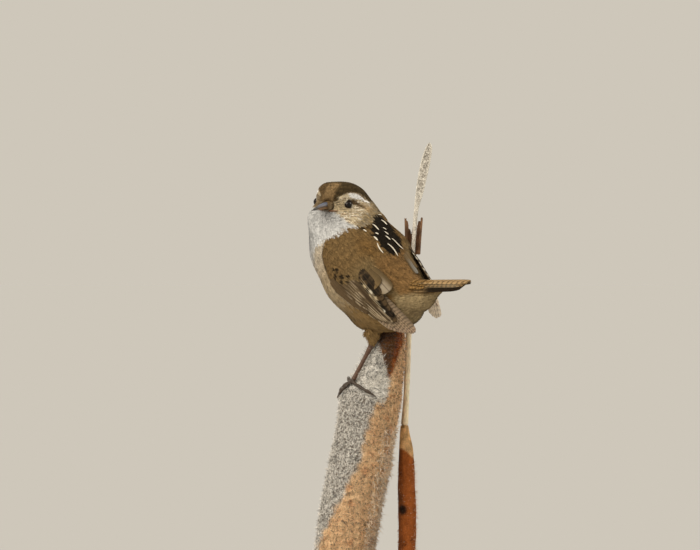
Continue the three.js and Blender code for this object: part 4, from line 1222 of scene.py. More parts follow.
@dataclass
class Coat:
    """A layer of small feathers over part of the form.

    Attributes:
        flesh: the form.
        name: the piece's name.
        slot: a name for the material's slot; not used.
        gap: how far apart the feathers are at given points.
        length: how long they are there.
        keep: which points get one.
        width: how wide a feather is beside its length.
        lift: how far its tip stands off.
        pointed: how much it narrows before its tip.
        ruffle: how unevenly the feathers point.
        vary: how unlike each other they are in brightness.
        seed: the random draw.
        sag: how closely a feather follows the form's bend, 4 for exactly.
    """

    flesh: Flesh
    name: str
    slot: str
    gap: Callable[[Array], Array]
    length: Callable[[Array], Array]
    keep: Callable[[Array], Array]
    width: float
    lift: float
    pointed: float
    ruffle: float
    vary: float
    seed: int
    sag: float = 3.96

    def build(self, finish: Down) -> bpy.types.Object:
        """Copies one feather over the region, each bent to lie along the surface."""
        rng = np.random.default_rng(self.seed)
        root, facing = self.flesh.scatter(self.gap, self.keep, self.seed)
        many = len(root)
        widths = [0.35, 0.72, 1.0, 0.9 - self.pointed, 0]
        blade = Blade(4, 5, lambda t: np.interp(t, [0, 0.15, 0.55, 0.82, 1], widths))
        run = Lay.directions(root, facing)
        run = unit(run + np.cross(facing, run) * rng.normal(0, self.ruffle, (many, 1)))
        length = self.length(root) * rng.uniform(0.82, 1.2, many)
        half = length * self.width * 0.5 * rng.uniform(0.85, 1.15, many)
        side = np.cross(run, facing)
        tip_at, _ = self.flesh.nearest(root + run * length[:, None])
        mid_at, _ = self.flesh.nearest(root + run * (length * 0.55)[:, None])
        edge_at, _ = self.flesh.nearest(root + run * (length * 0.55)[:, None] + side * half[:, None])
        drop = lambda at: np.clip(np.sum((at - root) * facing, axis=1), -0.5 * length, 0.4 * length)
        tip_drop, mid_drop, edge_drop = drop(tip_at), drop(mid_at), drop(edge_at)
        u, v = blade.across[None], blade.run[None]
        second = self.sag * (tip_drop / 2 - mid_drop)[:, None]
        first = tip_drop[:, None] - second
        rise = first * v + second * v**2 + (edge_drop - mid_drop)[:, None] * u**2
        rise = rise - 0.4 * (1 - v) ** 1.5 + (self.lift * rng.uniform(0.4, 1.6, many))[:, None] * v**2
        rise = rise + 0.05 * (1 - u**2) + blade.face[None] * 0.08
        bend = rng.normal(0, 0.12, (many, 1)) * v**2
        places = moved(root, (run, length[:, None] * v), (side, half[:, None] * (u + bend)), (facing, rise))
        own = rng.random(many)
        tone_at = Markings.at(root + run * (0.6 * length)[:, None])
        # each feather a little darker towards its root: painted shade under the feathers that overlap it
        tint = tone_at[:, None] * (1 + self.vary * (own - 0.5))[:, None, None] * (0.9 + 0.16 * v)[..., None]
        vane = np.stack([np.broadcast_to(u, rise.shape), length[:, None] * v], axis=2)
        carried = {"tint": tint, "own": np.broadcast_to(own[:, None], rise.shape)}
        charts = {"Vane": vane, "OFBake": bake_chart(root, blade)}
        obj = copies(self.name, blade, places, carried, charts, smooth=False)
        return settle(obj, finish, self.slot)


@dataclass
class Plumage:
    """The skin and the coats of small feathers over it."""

    flesh: Flesh
    eye_clear: float = 2.3

    def build(self) -> None:
        """Makes the skin, then the coats of head, body and underparts, each side by itself."""
        self._skin()
        down = Down("soft_plumage")
        for side in Side:
            for coat in (self._head(side), self._body(side), self._under(side)):
                coat.build(down)

    def _skin(self) -> None:
        """The skin under the feathers, a coat's depth inside the solids."""
        obj = self.flesh.outer
        obj.name = "skin"
        self.flesh.modify("DISPLACE", strength=-self.flesh.depth * MM, mid_level=0.0)
        carry(obj, "tint", Markings.at(self.flesh.mesh_points))
        settle(obj, Underskin("under_plumage"), "plumage_body", *self.flesh.nodes)

    @staticmethod
    def eye_distance(p: Array) -> Array:
        """How far points are from the nearer eye."""
        h = HEAD.local(p)
        h[:, 0] = np.abs(h[:, 0])
        return np.linalg.norm(h - EYE_MIDDLE, axis=1)

    @staticmethod
    def ankle_distance(p: Array) -> Array:
        """How far points are from the nearer ankle."""
        return np.min([np.linalg.norm(p - np.array(leg.ankle), axis=1) for leg in LEGS], axis=0)

    def _clear_of_face(self, p: Array) -> Array:
        """True away from the eyes and from under the bill's root."""
        h = HEAD.local(p)
        bill = np.hypot(h[:, 0] / 1.7, (h[:, 2] + 0.1) / 1.5) > 1
        return (self.eye_distance(p) > self.eye_clear) & (bill | (h[:, 1] < -1.0))

    @staticmethod
    def turned(p: Array, side: Side) -> Array:
        """Degrees round from the back on one side of the body, negative on the other side."""
        b = BODY.local(p)
        return side.value * np.degrees(np.arctan2(b[:, 0], b[:, 2]))

    def _head(self, side: Side) -> Coat:
        """Short feathers of one half of the head, shortest round the bill and the eyes."""
        near = lambda p: np.minimum(self.eye_distance(p) - 2, np.linalg.norm(p - HEAD.at, axis=1) - 1.5)
        here = lambda p: side.value * HEAD.local(p)[:, 0] >= 0
        gap = lambda p: 0.34 + 0.12 * ease(0, 8, near(p))
        length = lambda p: 0.9 + 1.3 * ease(0, 7, near(p))
        keep = lambda p: here(p) & (Lay.headness(p) > 0.3) & self._clear_of_face(p)
        name = f"coat_head_{side.word}"
        return Coat(self.flesh, name, "plumage_head", gap, length, keep, 0.34, 0.05, 0.45, 0.16, 0.5, 11 + side.value)

    def _body(self, side: Side) -> Coat:
        """Feathers of back, rump and shoulder."""
        gap, length = (lambda p: np.full(len(p), 0.58)), (lambda p: np.full(len(p), 3.3))
        keep = lambda p: (Lay.headness(p) <= 0.34) & (self.turned(p, side) >= 0) & (self.turned(p, side) < 96)
        name = f"coat_back_{side.word}"
        return Coat(self.flesh, name, "plumage_body", gap, length, keep, 0.27, 0.07, 0.45, 0.16, 0.4, 14 + side.value)

    def _under(self, side: Side) -> Coat:
        """Longer, looser feathers of breast, belly, flank, thigh and vent."""
        gap = lambda p: np.full(len(p), 0.68)
        length = lambda p: 1.5 + 2.5 * ease(4, 12, self.ankle_distance(p))
        keep = lambda p: (Lay.headness(p) <= 0.34) & (self.turned(p, side) >= 92)
        name = f"coat_under_{side.word}"
        return Coat(self.flesh, name, "plumage_throat", gap, length, keep, 0.24, 0.1, 0.5, 0.18, 0.26, 17 + side.value)


@dataclass
class Streaks:
    """The narrow white feathers that line the black patch on the upper back."""

    flesh: Flesh
    runs: tuple = (
        (0.34, (12.7, 41.4), (11.6, 44.9)),
        (0.4, (9.7, 35.9), (7.5, 34.2), (5.4, 31.8)),
        (0.38, (8.1, 8.6), (6.0, 8.6), (3.7, 7.9)),
        (0.38, (5.0, 20.6), (3.0, 21.4)),
        (0.36, (2.8, 15.8), (0.1, 15.4)),
        (0.34, (3.5, -0.1), (1.8, 1.2)),
        (0.34, (0.5, 10.3), (-1.0, 10.2), (-2.6, 10.5)),
        (0.4, (2.3, -6.2), (-0.8, -7.3)),
        (0.4, (-1.0, 17.1), (-4.9, 19.0), (-7.9, 24.6)),
        (0.36, (-3.0, 2.7), (-6.5, 6.0), (-10.2, 6.1)),
        (0.3, (-1.1, -9.3), (-3.7, -12.4), (-6.7, -12.2)),
        (0.3, (7.3, -11.3), (5.4, -10.0)),
        (0.3, (4.2, 42.5), (2.4, 43.0)),
        (0.3, (8.6, 44.0), (7.0, 44.6)),
    )

    def build(self, finish: Down) -> bpy.types.Object:
        """Lays each of them along the back, just over the coat."""
        blade = Blade(8, 14, lambda t: np.interp(t, [0, 0.1, 0.45, 0.8, 0.95, 1], [0.2, 0.6, 1.0, 0.85, 0.4, 0]))
        rng = np.random.default_rng(61)
        v, u = blade.run, blade.across
        places, roots = [], []
        for half, *spots in self.runs:
            on_back = run_through([self.flesh.over_axis(*at) for at in spots], 16)
            on_back, facing = self.flesh.nearest(on_back)
            run = unit(np.gradient(on_back, axis=0))
            side = unit(np.cross(run, facing))
            share = np.linspace(0, 1, 16)
            middle, side, facing = (read(v, share, rows) for rows in (on_back, side, facing))
            rise = 0.34 - 0.6 * (1 - v) ** 4 + 0.06 * (1 - u**2) + blade.face * 0.1
            places.append(middle + side * (u * half * rng.uniform(0.9, 1.1))[:, None] + facing * rise[:, None])
            roots.append(on_back[0])
        many, each = len(places), len(v)
        shade = (0.8 + 0.2 * v)[None, :, None] * np.ones((many, 1, 3))
        carried = {
            "tint": shade * tone("#e9e1cf"),
            "own": np.repeat(rng.random(many), each).reshape(many, each),
        }
        charts = {
            "Vane": np.broadcast_to(np.stack([u, v * 3], axis=1), (many, each, 2)),
            "OFBake": bake_chart(np.array(roots), blade),
        }
        obj = copies("mantle_streaks", blade, np.array(places), carried, charts)
        return settle(obj, finish, "plumage_body")


# Wings and tail


class Tier(IntEnum):
    """The rows of a folded wing, from the lowest to the one that lies over all."""

    FLIGHT = 0
    EDGE = 1
    SECOND = 2
    MARKED = 3
    LOBES = 4


@dataclass(frozen=True)
class FeatherRow:
    """A row of like feathers on a wing, the first nearest the breast's side.

    Attributes:
        count: how many.
        roots: place along the body and degrees round, of the first and the last root.
        tips: the same for the tips.
        half: half width.
        rise: how high they lie at root and tip.
        step: how much higher each lies than the one before.
        bulge: how much further the middle ones reach back.
        base: colour.
        bars: how strong their bars are, 0 to 1.
        pitch: how far apart the bars are.
        fringe: how strong the pale outer edge is.
    """

    count: int
    roots: tuple[tuple[float, float], tuple[float, float]]
    tips: tuple[tuple[float, float], tuple[float, float]]
    half: float
    rise: tuple[float, float]
    step: float = 0.05
    bulge: float = 0.0
    base: str = "#a18a66"
    bars: float = 0.7
    pitch: float = 1.5
    fringe: float = 0.6


@dataclass
class Wing:
    """A folded wing: long feathers fanned below shorter ones, tier over tier."""

    flesh: Flesh
    side: Side
    seed: int = 31

    edge_rows: tuple[FeatherRow, ...] = (
        FeatherRow(
            3, ((0, 93), (0, 85)), ((-16, 92), (-20.5, 88.5)), 1.4, (0.5, 1.25), 0.12, 0, "#65523a", 0.1, 1.6, 0.8
        ),
        FeatherRow(
            6, ((-2, 87), (-2, 68)), ((-26, 83), (-31, 68)), 2.0, (0.3, 1.2), 0.1, 0.5, "#64533c", 0.15, 0.7, 0.8
        ),
    )
    near_rows: tuple[FeatherRow, ...] = (
        FeatherRow(
            8, ((-6, 60), (-6, 80)), ((-39.5, 52), (-32, 80)), 2.6, (0.4, 0.7), 0.04, 2.2, "#a08a70", 0.65, 1.5, 0.4
        ),
        *edge_rows,
        FeatherRow(
            6, ((-3, 67), (-3, 50)), ((-32, 63), (-20, 53)), 1.9, (-0.2, 1.8), 0.12, 0, "#5c4a32", 0.0, 2.6, 0.4
        ),
        FeatherRow(
            2, ((-4, 50), (-5, 42)), ((-17, 48), (-21.5, 40)), 3.3, (-1.3, 2.2), 0.1, 0, "#705c3d", 0.0, 2.2, 0.0
        ),
    )
    far_rows: tuple[FeatherRow, ...] = (
        FeatherRow(
            8, ((-6, 60), (-6, 80)), ((-33, 52), (-29, 82)), 2.5, (0.4, 0.4), 0.04, 1.5, "#a58b72", 0.45, 1.5, 0.6
        ),
        *edge_rows,
        FeatherRow(
            4, ((-2, 66), (-1, 48)), ((-28, 62), (-24.5, 44.5)), 2.3, (-0.3, 2.6), 0.15, 0, "#7d6443", 0.0, 2.6, 0.5
        ),
        FeatherRow(
            2, ((-3, 30), (-4, 23)), ((-17, 31), (-19.5, 23)), 2.1, (-1.2, 0.8), 0.1, 0, "#705c3d", 0.0, 2.2, 0.0
        ),
    )
    marks: tuple = (
        (-11.8, 63.7, 1.5, 1.1, "black"), (-10.9, 51.8, 1.7, 1.0, "black"), (-14.7, 55.9, 1.9, 1.3, "black"),
        (-15.4, 64.8, 1.5, 1.0, "black"), (-18.3, 54.6, 2.0, 1.3, "black"), (-22.6, 60.7, 2.8, 1.2, "black"),
        (-26.4, 62.9, 3.0, 1.1, "black"), (-28.9, 60.2, 1.4, 0.9, "black"), (-12.9, 60.3, 1.0, 0.45, "pale"),
        (-17.0, 65.4, 1.3, 0.45, "pale"), (-16.4, 59.6, 1.1, 0.5, "white"), (-19.8, 60.4, 1.2, 0.4, "pale"),
        (-13.2, 66.6, 1.1, 0.4, "pale"), (-12.4, 55.6, 1.0, 0.4, "rust"), (-20.4, 57.2, 1.3, 0.7, "rust"),
        (-25.5, 65.0, 0.6, 0.4, "white"), (-26.3, 48.7, 1.6, 0.9, "rust"), (-23.6, 57.0, 1.6, 0.5, "rust"),
    )
    far_marks: tuple = (
        (-9.0, 40.5, 1.3, 0.9, "black"), (-11.6, 41.0, 1.2, 1.0, "black"), (-14.2, 41.5, 1.3, 1.1, "black"),
        (-17.0, 42.0, 1.3, 1.1, "black"), (-19.9, 42.5, 1.2, 1.0, "black"), (-22.6, 43.0, 1.1, 0.9, "black"),
        (-10.3, 39.0, 1.1, 0.4, "white"), (-12.9, 39.5, 1.0, 0.45, "white"), (-15.7, 40.4, 1.0, 0.45, "white"),
        (-18.5, 41.0, 1.0, 0.45, "white"), (-21.3, 41.6, 0.9, 0.4, "white"), (-23.6, 42.0, 0.7, 0.4, "white"),
    )
    far_tip: tuple = (
        ((426.0, 288.0), (432.0, 314.0)), ((428.0, 288.0), (434.2, 316.6)), ((430.0, 288.0), (436.4, 318.0)),
        ((432.0, 288.0), (438.6, 317.0)),
    )
    mark_tones = {
        "black": Markings.black,
        "pale": tone("#cdb994"),
        "white": tone("#e2dac6"),
        "rust": tone("#51402a"),
    }

    outline: tuple = ((0, 0.06, 0.4, 0.8, 0.9, 0.96, 0.99, 1), (0.3, 0.55, 0.9, 1.0, 0.93, 0.7, 0.42, 0))
    rows: tuple[FeatherRow, ...] = field(init=False)

    def __post_init__(self) -> None:
        """Picks the rows of this side: the far wing is held a little higher over the back."""
        self.rows = self.near_rows if self.side is Side.LEFT else self.far_rows

    def build(self, finish: Vaned) -> bpy.types.Object:
        """Lays every row over the flesh and joins them to one piece."""
        rng = np.random.default_rng(self.seed + self.side.value)
        blade = Blade(16, 40, lambda t: np.interp(t, *self.outline))
        feathers = []
        for k, (start, end) in enumerate(self.far_tip if self.side is Side.RIGHT else ()):
            feathers.append(self._far_tip(blade, start, end, k, rng.random()))
        for tier, row in zip(Tier, self.rows):
            for i in range(row.count):
                feathers.append(self._folded(blade, row, tier, i, rng))
        room = sum(row.count for row in self.rows) + len(self.far_tip)
        node = f"wing_{self.side.word}"
        return feathered(f"{node}_feathers", "wing_feathers", node, blade, finish, feathers, room)

    def _folded(self, blade: Blade, row: FeatherRow, tier: Tier, i: int, rng: np.random.Generator) -> tuple:
        """One feather of a row, as feathered takes it."""
        t = i / (row.count - 1)
        own = rng.random()
        start = np.array(row.roots[0]) * (1 - t) + np.array(row.roots[1]) * t
        end = np.array(row.tips[0]) * (1 - t) + np.array(row.tips[1]) * t
        end[0] += -row.bulge * math.sin(math.pi * (0.12 + 0.76 * t)) + rng.normal(0, 0.25)
        length, y, angle, put = self._lay(blade, row, start, end, i)
        color = self._tint(blade, row, tier, i == row.count - 1, own, length, y, angle)
        if self.side is Side.LEFT and tier < Tier.MARKED:
            color = self._lined(color, put)
        return put, color, (row.bars, row.pitch, row.fringe), own, -1, length

    @staticmethod
    def _lined(color: Array, put: Array) -> Array:
        """The thin pale and dark edges that run side by side along the closed wing."""
        x, z = put[:, 0], put[:, 2]
        lane = (0.672 * x + 0.74 * z - 94.2) / np.clip(5 - 0.213 * (x + 8), 1.6, 6)
        phase = np.sin(TURN * (5.5 * lane + 0.1 * np.sin(x * 0.7)))
        here = ease(-13, -9, x) * (1 - ease(7, 10, x)) * ease(-0.85, -0.7, lane) * (1 - ease(0.42, 0.55, lane))
        color = Markings.over(color, 0.8 * here * ease(0.35, 0.9, phase), tone("#b8a588"))
        return Markings.over(color, 0.75 * here * ease(0.45, 0.95, -phase), tone("#2e2217"))

    @staticmethod
    def _far_tip(blade: Blade, start: Sequence[float], end: Sequence[float], k: int, own: float) -> tuple:
        """One of the far wing's outermost feathers, whose ends show below the tail, tinted near white as painted light
        shining through them, as feathered takes it.
        """
        root, tip = (from_photo(spot, -14.5 - 0.35 * k) for spot in (start, end))
        length = float(np.linalg.norm(tip - root))
        run = (tip - root) / length
        across = unit(np.cross(run, np.array([0.25, 1.0, 0.1])))
        face = np.cross(across, run)
        v, u = blade.run[:, None], blade.across[:, None]
        put = root + run * (v * length) + across * (u * 1.35) + face * (0.13 * u**2 + blade.face[:, None] * 0.26)
        # near white: painted light shining through the backlit tips
        color = np.broadcast_to(tone("#fff0dc"), put.shape) * (0.9 + 0.1 * own)
        return put, color, (0.3, 1.9, 0.3), own, -1, length

    def _lay(
        self, blade: Blade, row: FeatherRow, start: Array, end: Array, i: int
    ) -> tuple[float, Array, Array, Array]:
        """One feather's corners, bent over the wing's surface.

        Returns:
            Its length, its corners' places along the body and degrees round, and the corners.
        """
        v, u = blade.run, blade.across
        y = start[0] + (end[0] - start[0]) * v
        angle = start[1] + (end[1] - start[1]) * v
        near = self.flesh.wing_reach(self.side, y, angle)
        dy = end[0] - start[0]
        da = math.radians(end[1] - start[1]) * float(near.mean())
        length = math.hypot(dy, da)
        y = y + (-da / length) * u * row.half
        angle = angle + np.degrees((dy / length) * u * row.half / near)
        rise = row.rise[0] + (row.rise[1] - row.rise[0]) * v**0.8 + row.step * i
        rise = rise + 0.12 * (1 - u**2) - 0.1 * u + blade.face * 0.26
        return length, y, angle, self.flesh.wing_point(self.side, y, angle, rise)

    def _tint(
        self, blade: Blade, row: FeatherRow, tier: Tier, last: bool, own: float, length: float, y: Array, angle: Array
    ) -> Array:
        """The colour of each corner: the base, darker towards the side that the next feather covers as a painted
        shadow line, then the marks of the place where it lies.
        """
        v, u = blade.run, blade.across
        color = np.broadcast_to(tone(row.base), (len(v), 3)) * (0.88 + 0.24 * own)
        # painted shadow line: darker towards the side that the next feather covers
        color = color * (1 - 0.45 * ease(-0.2, 0.9, u)[:, None])
        if tier is Tier.MARKED:
            wave = 0.3 * np.sin(v * length * 1.9 + own * 9) + 0.15 * np.sin(v * length * 4.3 + own * 5)
            center = (1 - ease(0.45, 0.75, np.abs(u) + wave)) * ease(0.03, 0.08, 1 - v)
            color = Markings.over(color, 0.9 * center, Markings.black * 1.6)
            reach = self.flesh.wing_reach(self.side, y, angle) * np.interp(y, [-38, -14], [0.6, 1.0])
            for at_y, at_angle, half_y, half_a, name in self.marks if self.side is Side.LEFT else self.far_marks:
                away = np.hypot((y - at_y) / half_y, np.radians(angle - at_angle) * reach / half_a)
                color = Markings.over(color, 0.92 * (1 - ease(0.7, 1.15, away)), self.mark_tones[name])
        if tier is Tier.LOBES and last:
            grey = ease(0.45, 0.8, v) * (1 - ease(0.2, 0.95, np.abs(u + 0.15)))
            color = Markings.over(color, grey, tone("#9a8d79" if self.side is Side.LEFT else "#84827c"))
        if tier is Tier.FLIGHT:
            color = Markings.over(color, 0.8 * ease(0.88, 0.98, v), tone("#a58d78"))
        return color


@dataclass
class Tail:
    """Twelve tail feathers closed over each other, with coverts over their roots."""

    length: float = 37.0
    pairs: int = 6
    barred_pairs: int = 3
    covert_tiers: int = 3
    half_spread: float = 3.1
    arch: float = 2.2
    outline: tuple = ((0, 0.06, 0.5, 0.86, 0.95, 0.985, 1), (0.3, 0.55, 0.9, 1.0, 0.85, 0.55, 0))
    seed: int = 41

    def build(self, finish: Vaned) -> bpy.types.Object:
        """Lays the feathers, the outermost pair lowest, then the coverts."""
        rng = np.random.default_rng(self.seed)
        blade = Blade(8, 26, lambda t: np.interp(t, *self.outline))
        rows = []
        for pair in range(self.pairs - 1, -1, -1):
            for hand in (-1, 1):
                rows.append(self._long(blade, pair, hand, rng.random()))
        for tier in range(self.covert_tiers):
            for k in np.arange(-2.5, 2.6, 1.0):
                rows.append(self._covert(blade, tier, k, rng.random()))
        return feathered("tail_feathers", "tail_feathers", "tail", blade, finish, rows, len(rows))

    def _long(self, blade: Blade, pair: int, hand: int, own: float) -> tuple:
        """One tail feather, as feathered takes it."""
        out = (pair + 0.35) / (self.pairs - 0.65)
        length = self.length - 1.3 * out**2 - (1.1 * out if hand > 0 else 0)
        v, u = blade.run, blade.across
        tilt = -hand * 0.5 * out
        half = 3.1 - 0.5 * out
        side = hand * self.half_spread * out * (0.7 + 0.1 * v) + u * half * math.cos(tilt)
        rise = -self.arch * out**1.3 * (1 - 0.5 * v) - (0.16 if hand > 0 else 0) + 0.9 * (1 - v) * (1 - out)
        rise = rise + u * half * math.sin(tilt) + 0.15 * (1 - u**2) + blade.face * 0.3
        put = TAIL.point(side, -3 + v * (length + 3), rise)
        color = np.broadcast_to(tone("#a3855c"), (len(v), 3)) * (0.88 + 0.24 * own)
        barred = pair < self.barred_pairs
        # the unbarred outer pairs go near black from about halfway along: painted shade on the under side of the
        # closed tail
        if not barred:
            color = Markings.over(color, ease(0.36, 0.52, v), tone("#33281c"))
        color = Markings.over(color, ease(0.95, 1.0, v) * (0.8 if barred else 0.3), tone("#b3966b"))
        bars = (0.85 if barred else 0.3, 1.7 + 1.1 * own, 0.3 if barred else 0.0)
        return put, color, bars, own, hand, length

    def _covert(self, blade: Blade, tier: int, k: float, own: float) -> tuple:
        """One covert over the tail's root, as feathered takes it."""
        end = 17 - tier * 4 - abs(k) * 0.8
        v, u = blade.run, blade.across
        half = 1.7
        side = k * (1.25 - 0.2 * v) + u * half
        rise = 0.6 + tier * 0.32 - 0.2 * k * k - 0.28 * k * u + 0.15 * (1 - u**2) + blade.face * 0.25
        rise = rise - 0.05 * u**2 * half
        put = TAIL.point(side, -5 + v * (end + 5), rise)
        color = np.broadcast_to(tone("#8a6a3d"), (len(v), 3)) * (0.85 + 0.3 * own)
        return put, color, (0.55, 1.5, 0.1), own, 1, end + 5


# Face, bill and legs


@dataclass
class Face:
    """Eyes with their lids, and the slim drooping bill."""

    flesh: Flesh
    eye_radius: float = 1.8
    eye_at: tuple[float, float, float] = (6.7, -5.6, 0.85)
    eye_axis: tuple[float, float, float] = (0.86, 0.49, 0.1)
    lid_out: float = 0.72
    lid_radius: float = 1.9
    lid_thick: float = 0.27
    bill_length: float = 14.3
    bill_root: float = -3.2
    bill_half_width: float = 1.7
    bill_upper: float = 1.7
    bill_lower: float = 1.3
    bill_droop: float = 1.35
    gape_run: tuple = ((1.3, 1.2, -1.2), (2.4, -0.1, -1.8), (3.6, -0.6, -1.8), (4.9, -1.3, -1.7))
    frontal_count: int = 420

    def build(self) -> None:
        """Makes both eyes, both lids and the two halves of the bill."""
        for side in Side:
            self._eye(side)
            self._lid(side)
        self._bill(1, "bill_upper", "bill_horn")
        self._bill(-1, "bill_lower", "bill_horn_pale")
        self._gape()
        self._frontal()

    def _axes(self, side: Side) -> tuple[Array, Array, Array, Array]:
        """The eye's middle, the way it looks, and two directions across."""
        middle = HEAD.point(side.value * self.eye_at[0], *self.eye_at[1:])
        look = unit(HEAD.point(side.value * self.eye_axis[0], *self.eye_axis[1:]) - HEAD.at)
        ahead = unit(np.cross(HEAD.top, look))
        return middle, look, ahead, np.cross(look, ahead)

    def _eye(self, side: Side) -> None:
        """An eyeball with a slightly raised clear front over a dark iris."""
        middle, look, ahead, up = self._axes(side)

        def place(share: Array, angle: Array) -> Array:
            """The ball, raised a little at its front pole."""
            polar = share * math.pi
            r = self.eye_radius * (1 + 0.05 * np.exp(-((polar / 0.75) ** 2)))
            out = (np.cos(polar) * r)[:, None] * look
            wide = np.sin(polar) * r
            return middle + out + (wide * np.cos(angle))[:, None] * ahead + (wide * np.sin(angle))[:, None] * up

        name = f"eye_{side.word}_ball"
        obj = shaped(name, 32, 24, place)
        polar = np.arccos(np.clip((corners(obj) - middle) @ look / self.eye_radius, -1, 1))
        iris = ease(0.52, 0.62, polar) * (1 - ease(1.0, 1.15, polar))
        carry(obj, "tint", Markings.over(np.broadcast_to(tone("#050403"), (len(polar), 3)), iris, tone("#1d100a")))
        settle(obj, Eye("wet_eye"), "eye_surface", f"eye_{side.word}")

    def _lid(self, side: Side) -> None:
        """The bare rim of the lids round the eye."""
        middle, look, ahead, up = self._axes(side)
        bpy.ops.object.select_all(action="DESELECT")
        bpy.ops.mesh.primitive_torus_add(
            major_radius=self.lid_radius, minor_radius=self.lid_thick, major_segments=40, minor_segments=10
        )
        obj = bpy.context.object
        obj.name = f"eyelids_{side.word}"
        co = corners(obj) * MM
        turn = np.arctan2(co[:, 1], co[:, 0])
        squeeze = 1.0 - 0.05 * np.cos(2 * turn)
        where = middle + look * self.lid_out
        places = where + co[:, :1] * ahead * 1.04 + co[:, 1:2] * up * squeeze[:, None] + co[:, 2:] * look * 0.85
        move_corners(obj, places)
        bpy.ops.object.shade_smooth()
        away = lambda middle: np.abs(np.angle(np.exp(1j * (turn - middle))))
        low, high = (-0.75, 2.3) if side is Side.LEFT else (-2.39, 0.84)
        pale = np.maximum(1 - ease(0.7, 1.1, away(low)), 0.8 * (1 - ease(0.25, 0.6, away(high))))
        carry(obj, "tint", Markings.over(np.broadcast_to(tone("#3a3024"), (len(turn), 3)), pale, tone("#cfc6b0")))
        settle(obj, Horn("lid_rim", 0.75, 0.0), "plumage_head")

    def _gape(self) -> None:
        """The corners of the mouth, running back below the eyes."""
        thick = lambda t: 0.36 * (1 - 0.6 * t) * np.sqrt(np.clip(8 * t, 0, 1))
        pieces = []
        for side in Side:
            path = run_through([HEAD.point(side.value * x, y, z) for x, y, z in self.gape_run], 20)
            near, facing = self.flesh.nearest(path)
            pieces.append(rod("gape", near + facing * 0.12, thick, 10, 18))
        obj = joined("bill_gape", pieces)
        carry(obj, "tint", np.broadcast_to(tone("#7a5232"), (len(obj.data.vertices), 3)))
        settle(obj, Horn("gape_horn", 0.5, 0.1), "bill_horn_pale")

    def _frontal(self) -> None:
        """Short feathers that lie forward over the root of the bill, furthest along its sides."""
        rng = np.random.default_rng(71)
        blade = Blade(4, 5, lambda t: np.interp(t, [0, 0.15, 0.55, 0.82, 1], [0.5, 0.8, 1.0, 0.6, 0]))
        many = self.frontal_count
        turn = np.radians(rng.uniform(-22, 202, many))
        level = rng.uniform(0, 1, many)
        reach = 0.2 + 2.6 * np.abs(np.cos(turn)) ** 1.5 - 2.6 * level
        length = rng.uniform(1.3, 2.0, many)
        wide = self.bill_half_width + 0.12 + 0.35 * level
        tall = self.bill_upper * 0.96 + 0.1 + 0.45 * level
        v, u = blade.run[None], blade.across[None]
        y = reach[:, None] - (1 - v) * length[:, None] + rng.normal(0, 0.25, (many, 1))
        slim = 1 - 0.8 * (np.maximum(y, 0) / self.bill_length) ** 1.25 * 1.25
        twist = turn[:, None] + rng.normal(0, 0.12, (many, 1)) * v + u * 0.14
        lift = 0.05 + 0.25 * v * (1 - v) + blade.face[None] * 0.08 + 0.08 * rng.random((many, 1))
        x = np.cos(twist) * (wide[:, None] * slim + lift)
        z = np.sign(np.sin(twist)) * np.abs(np.sin(twist)) ** 0.85 * (tall[:, None] * slim + lift) - 0.1
        places = HEAD.point(x, y, z)
        roots = places[:, 0]
        top = np.clip(np.sin(turn), 0, 1)
        color = Markings.over(np.broadcast_to(tone("#6b583f"), (many, 3)), top**2, Markings.forehead)
        color = Markings.over(color, 0.6 * level * (1 - top), Markings.lore)
        shade = rng.uniform(0.65, 1.35, (many, 1, 1))
        own = np.repeat(rng.random(many)[:, None], len(blade.run), axis=1)
        vane = np.stack([np.broadcast_to(u, y.shape), length[:, None] * v], axis=2)
        tint = np.broadcast_to(color[:, None] * shade, places.shape)
        charts = {"Vane": vane, "OFBake": bake_chart(roots, blade)}
        obj = copies("coat_frontal", blade, places, {"tint": tint, "own": own}, charts, smooth=False)
        settle(obj, Down("frontal_plumage"), "plumage_head")

    def _bill(self, half: int, name: str, slot: str) -> None:
        """One half of the bill, round outside and flat where it meets the other."""

        def place(share: Array, angle: Array) -> Array:
            """The half cone's skin, in the head's frame."""
            end = self.bill_length - (0.4 if half < 0 else 0)
            y = self.bill_root + share * (end - self.bill_root)
            u = np.maximum(y, 0) / self.bill_length
            slim = np.maximum(1 - u**1.25, 0.09)
            droop = -self.bill_droop * u**2 - 0.05 * np.maximum(1.5 - y, 0) ** 1.5
            wide = (self.bill_half_width * slim + 0.1 * np.maximum(-y, 0)) * (1.0 if half > 0 else 0.93)
            tall = slim * (self.bill_upper if half > 0 else self.bill_lower * np.minimum(1 + 0.12 * y, 1))
            pole = closing(share)
            x = np.cos(angle) * wide * pole
            s = np.sin(angle) * half
            z = np.where(s > 0, np.abs(s) ** 0.8 * tall, s * 0.12) * pole * half
            return HEAD.point(x, y, droop + z)

        obj = shaped(name + "_horn", 24, 30, place)
        h = HEAD.local(corners(obj))
        y, z = h[:, 1], h[:, 2]
        if half > 0:
            color = np.broadcast_to(tone("#5a6274"), h.shape).copy()
            low = 1 - ease(0.3, 1.1, z + self.bill_droop * (np.maximum(y, 0) / self.bill_length) ** 2)
            color = Markings.over(color, 0.85 * low, tone("#54402c"))
        else:
            color = np.broadcast_to(tone("#86653f"), h.shape).copy()
        color = Markings.over(color, ease(7.5, 11.5, y), tone("#211f1e"))
        carry(obj, "tint", color)
        settle(obj, Horn(name + "_finish", 0.5, 0.08), slot, name)


CATTAIL_ROWS = (
    (24, -25.6, -1.2), (38.9, -23.4, 1.9), (50.3, -21.7, 3.6), (60.5, -19.8, 6), (69.9, -17.9, 7.3),
    (79.7, -16, 9), (89, -14.6, 10.8), (94, -12.4, 11.5), (98, -9.5, 11.9), (105, -5.6, 12.3),
    (111, -2, 12.4), (116, 1.4, 12.2), (119.4, 4, 10.6), (120.6, 6.6, 8.6),
)


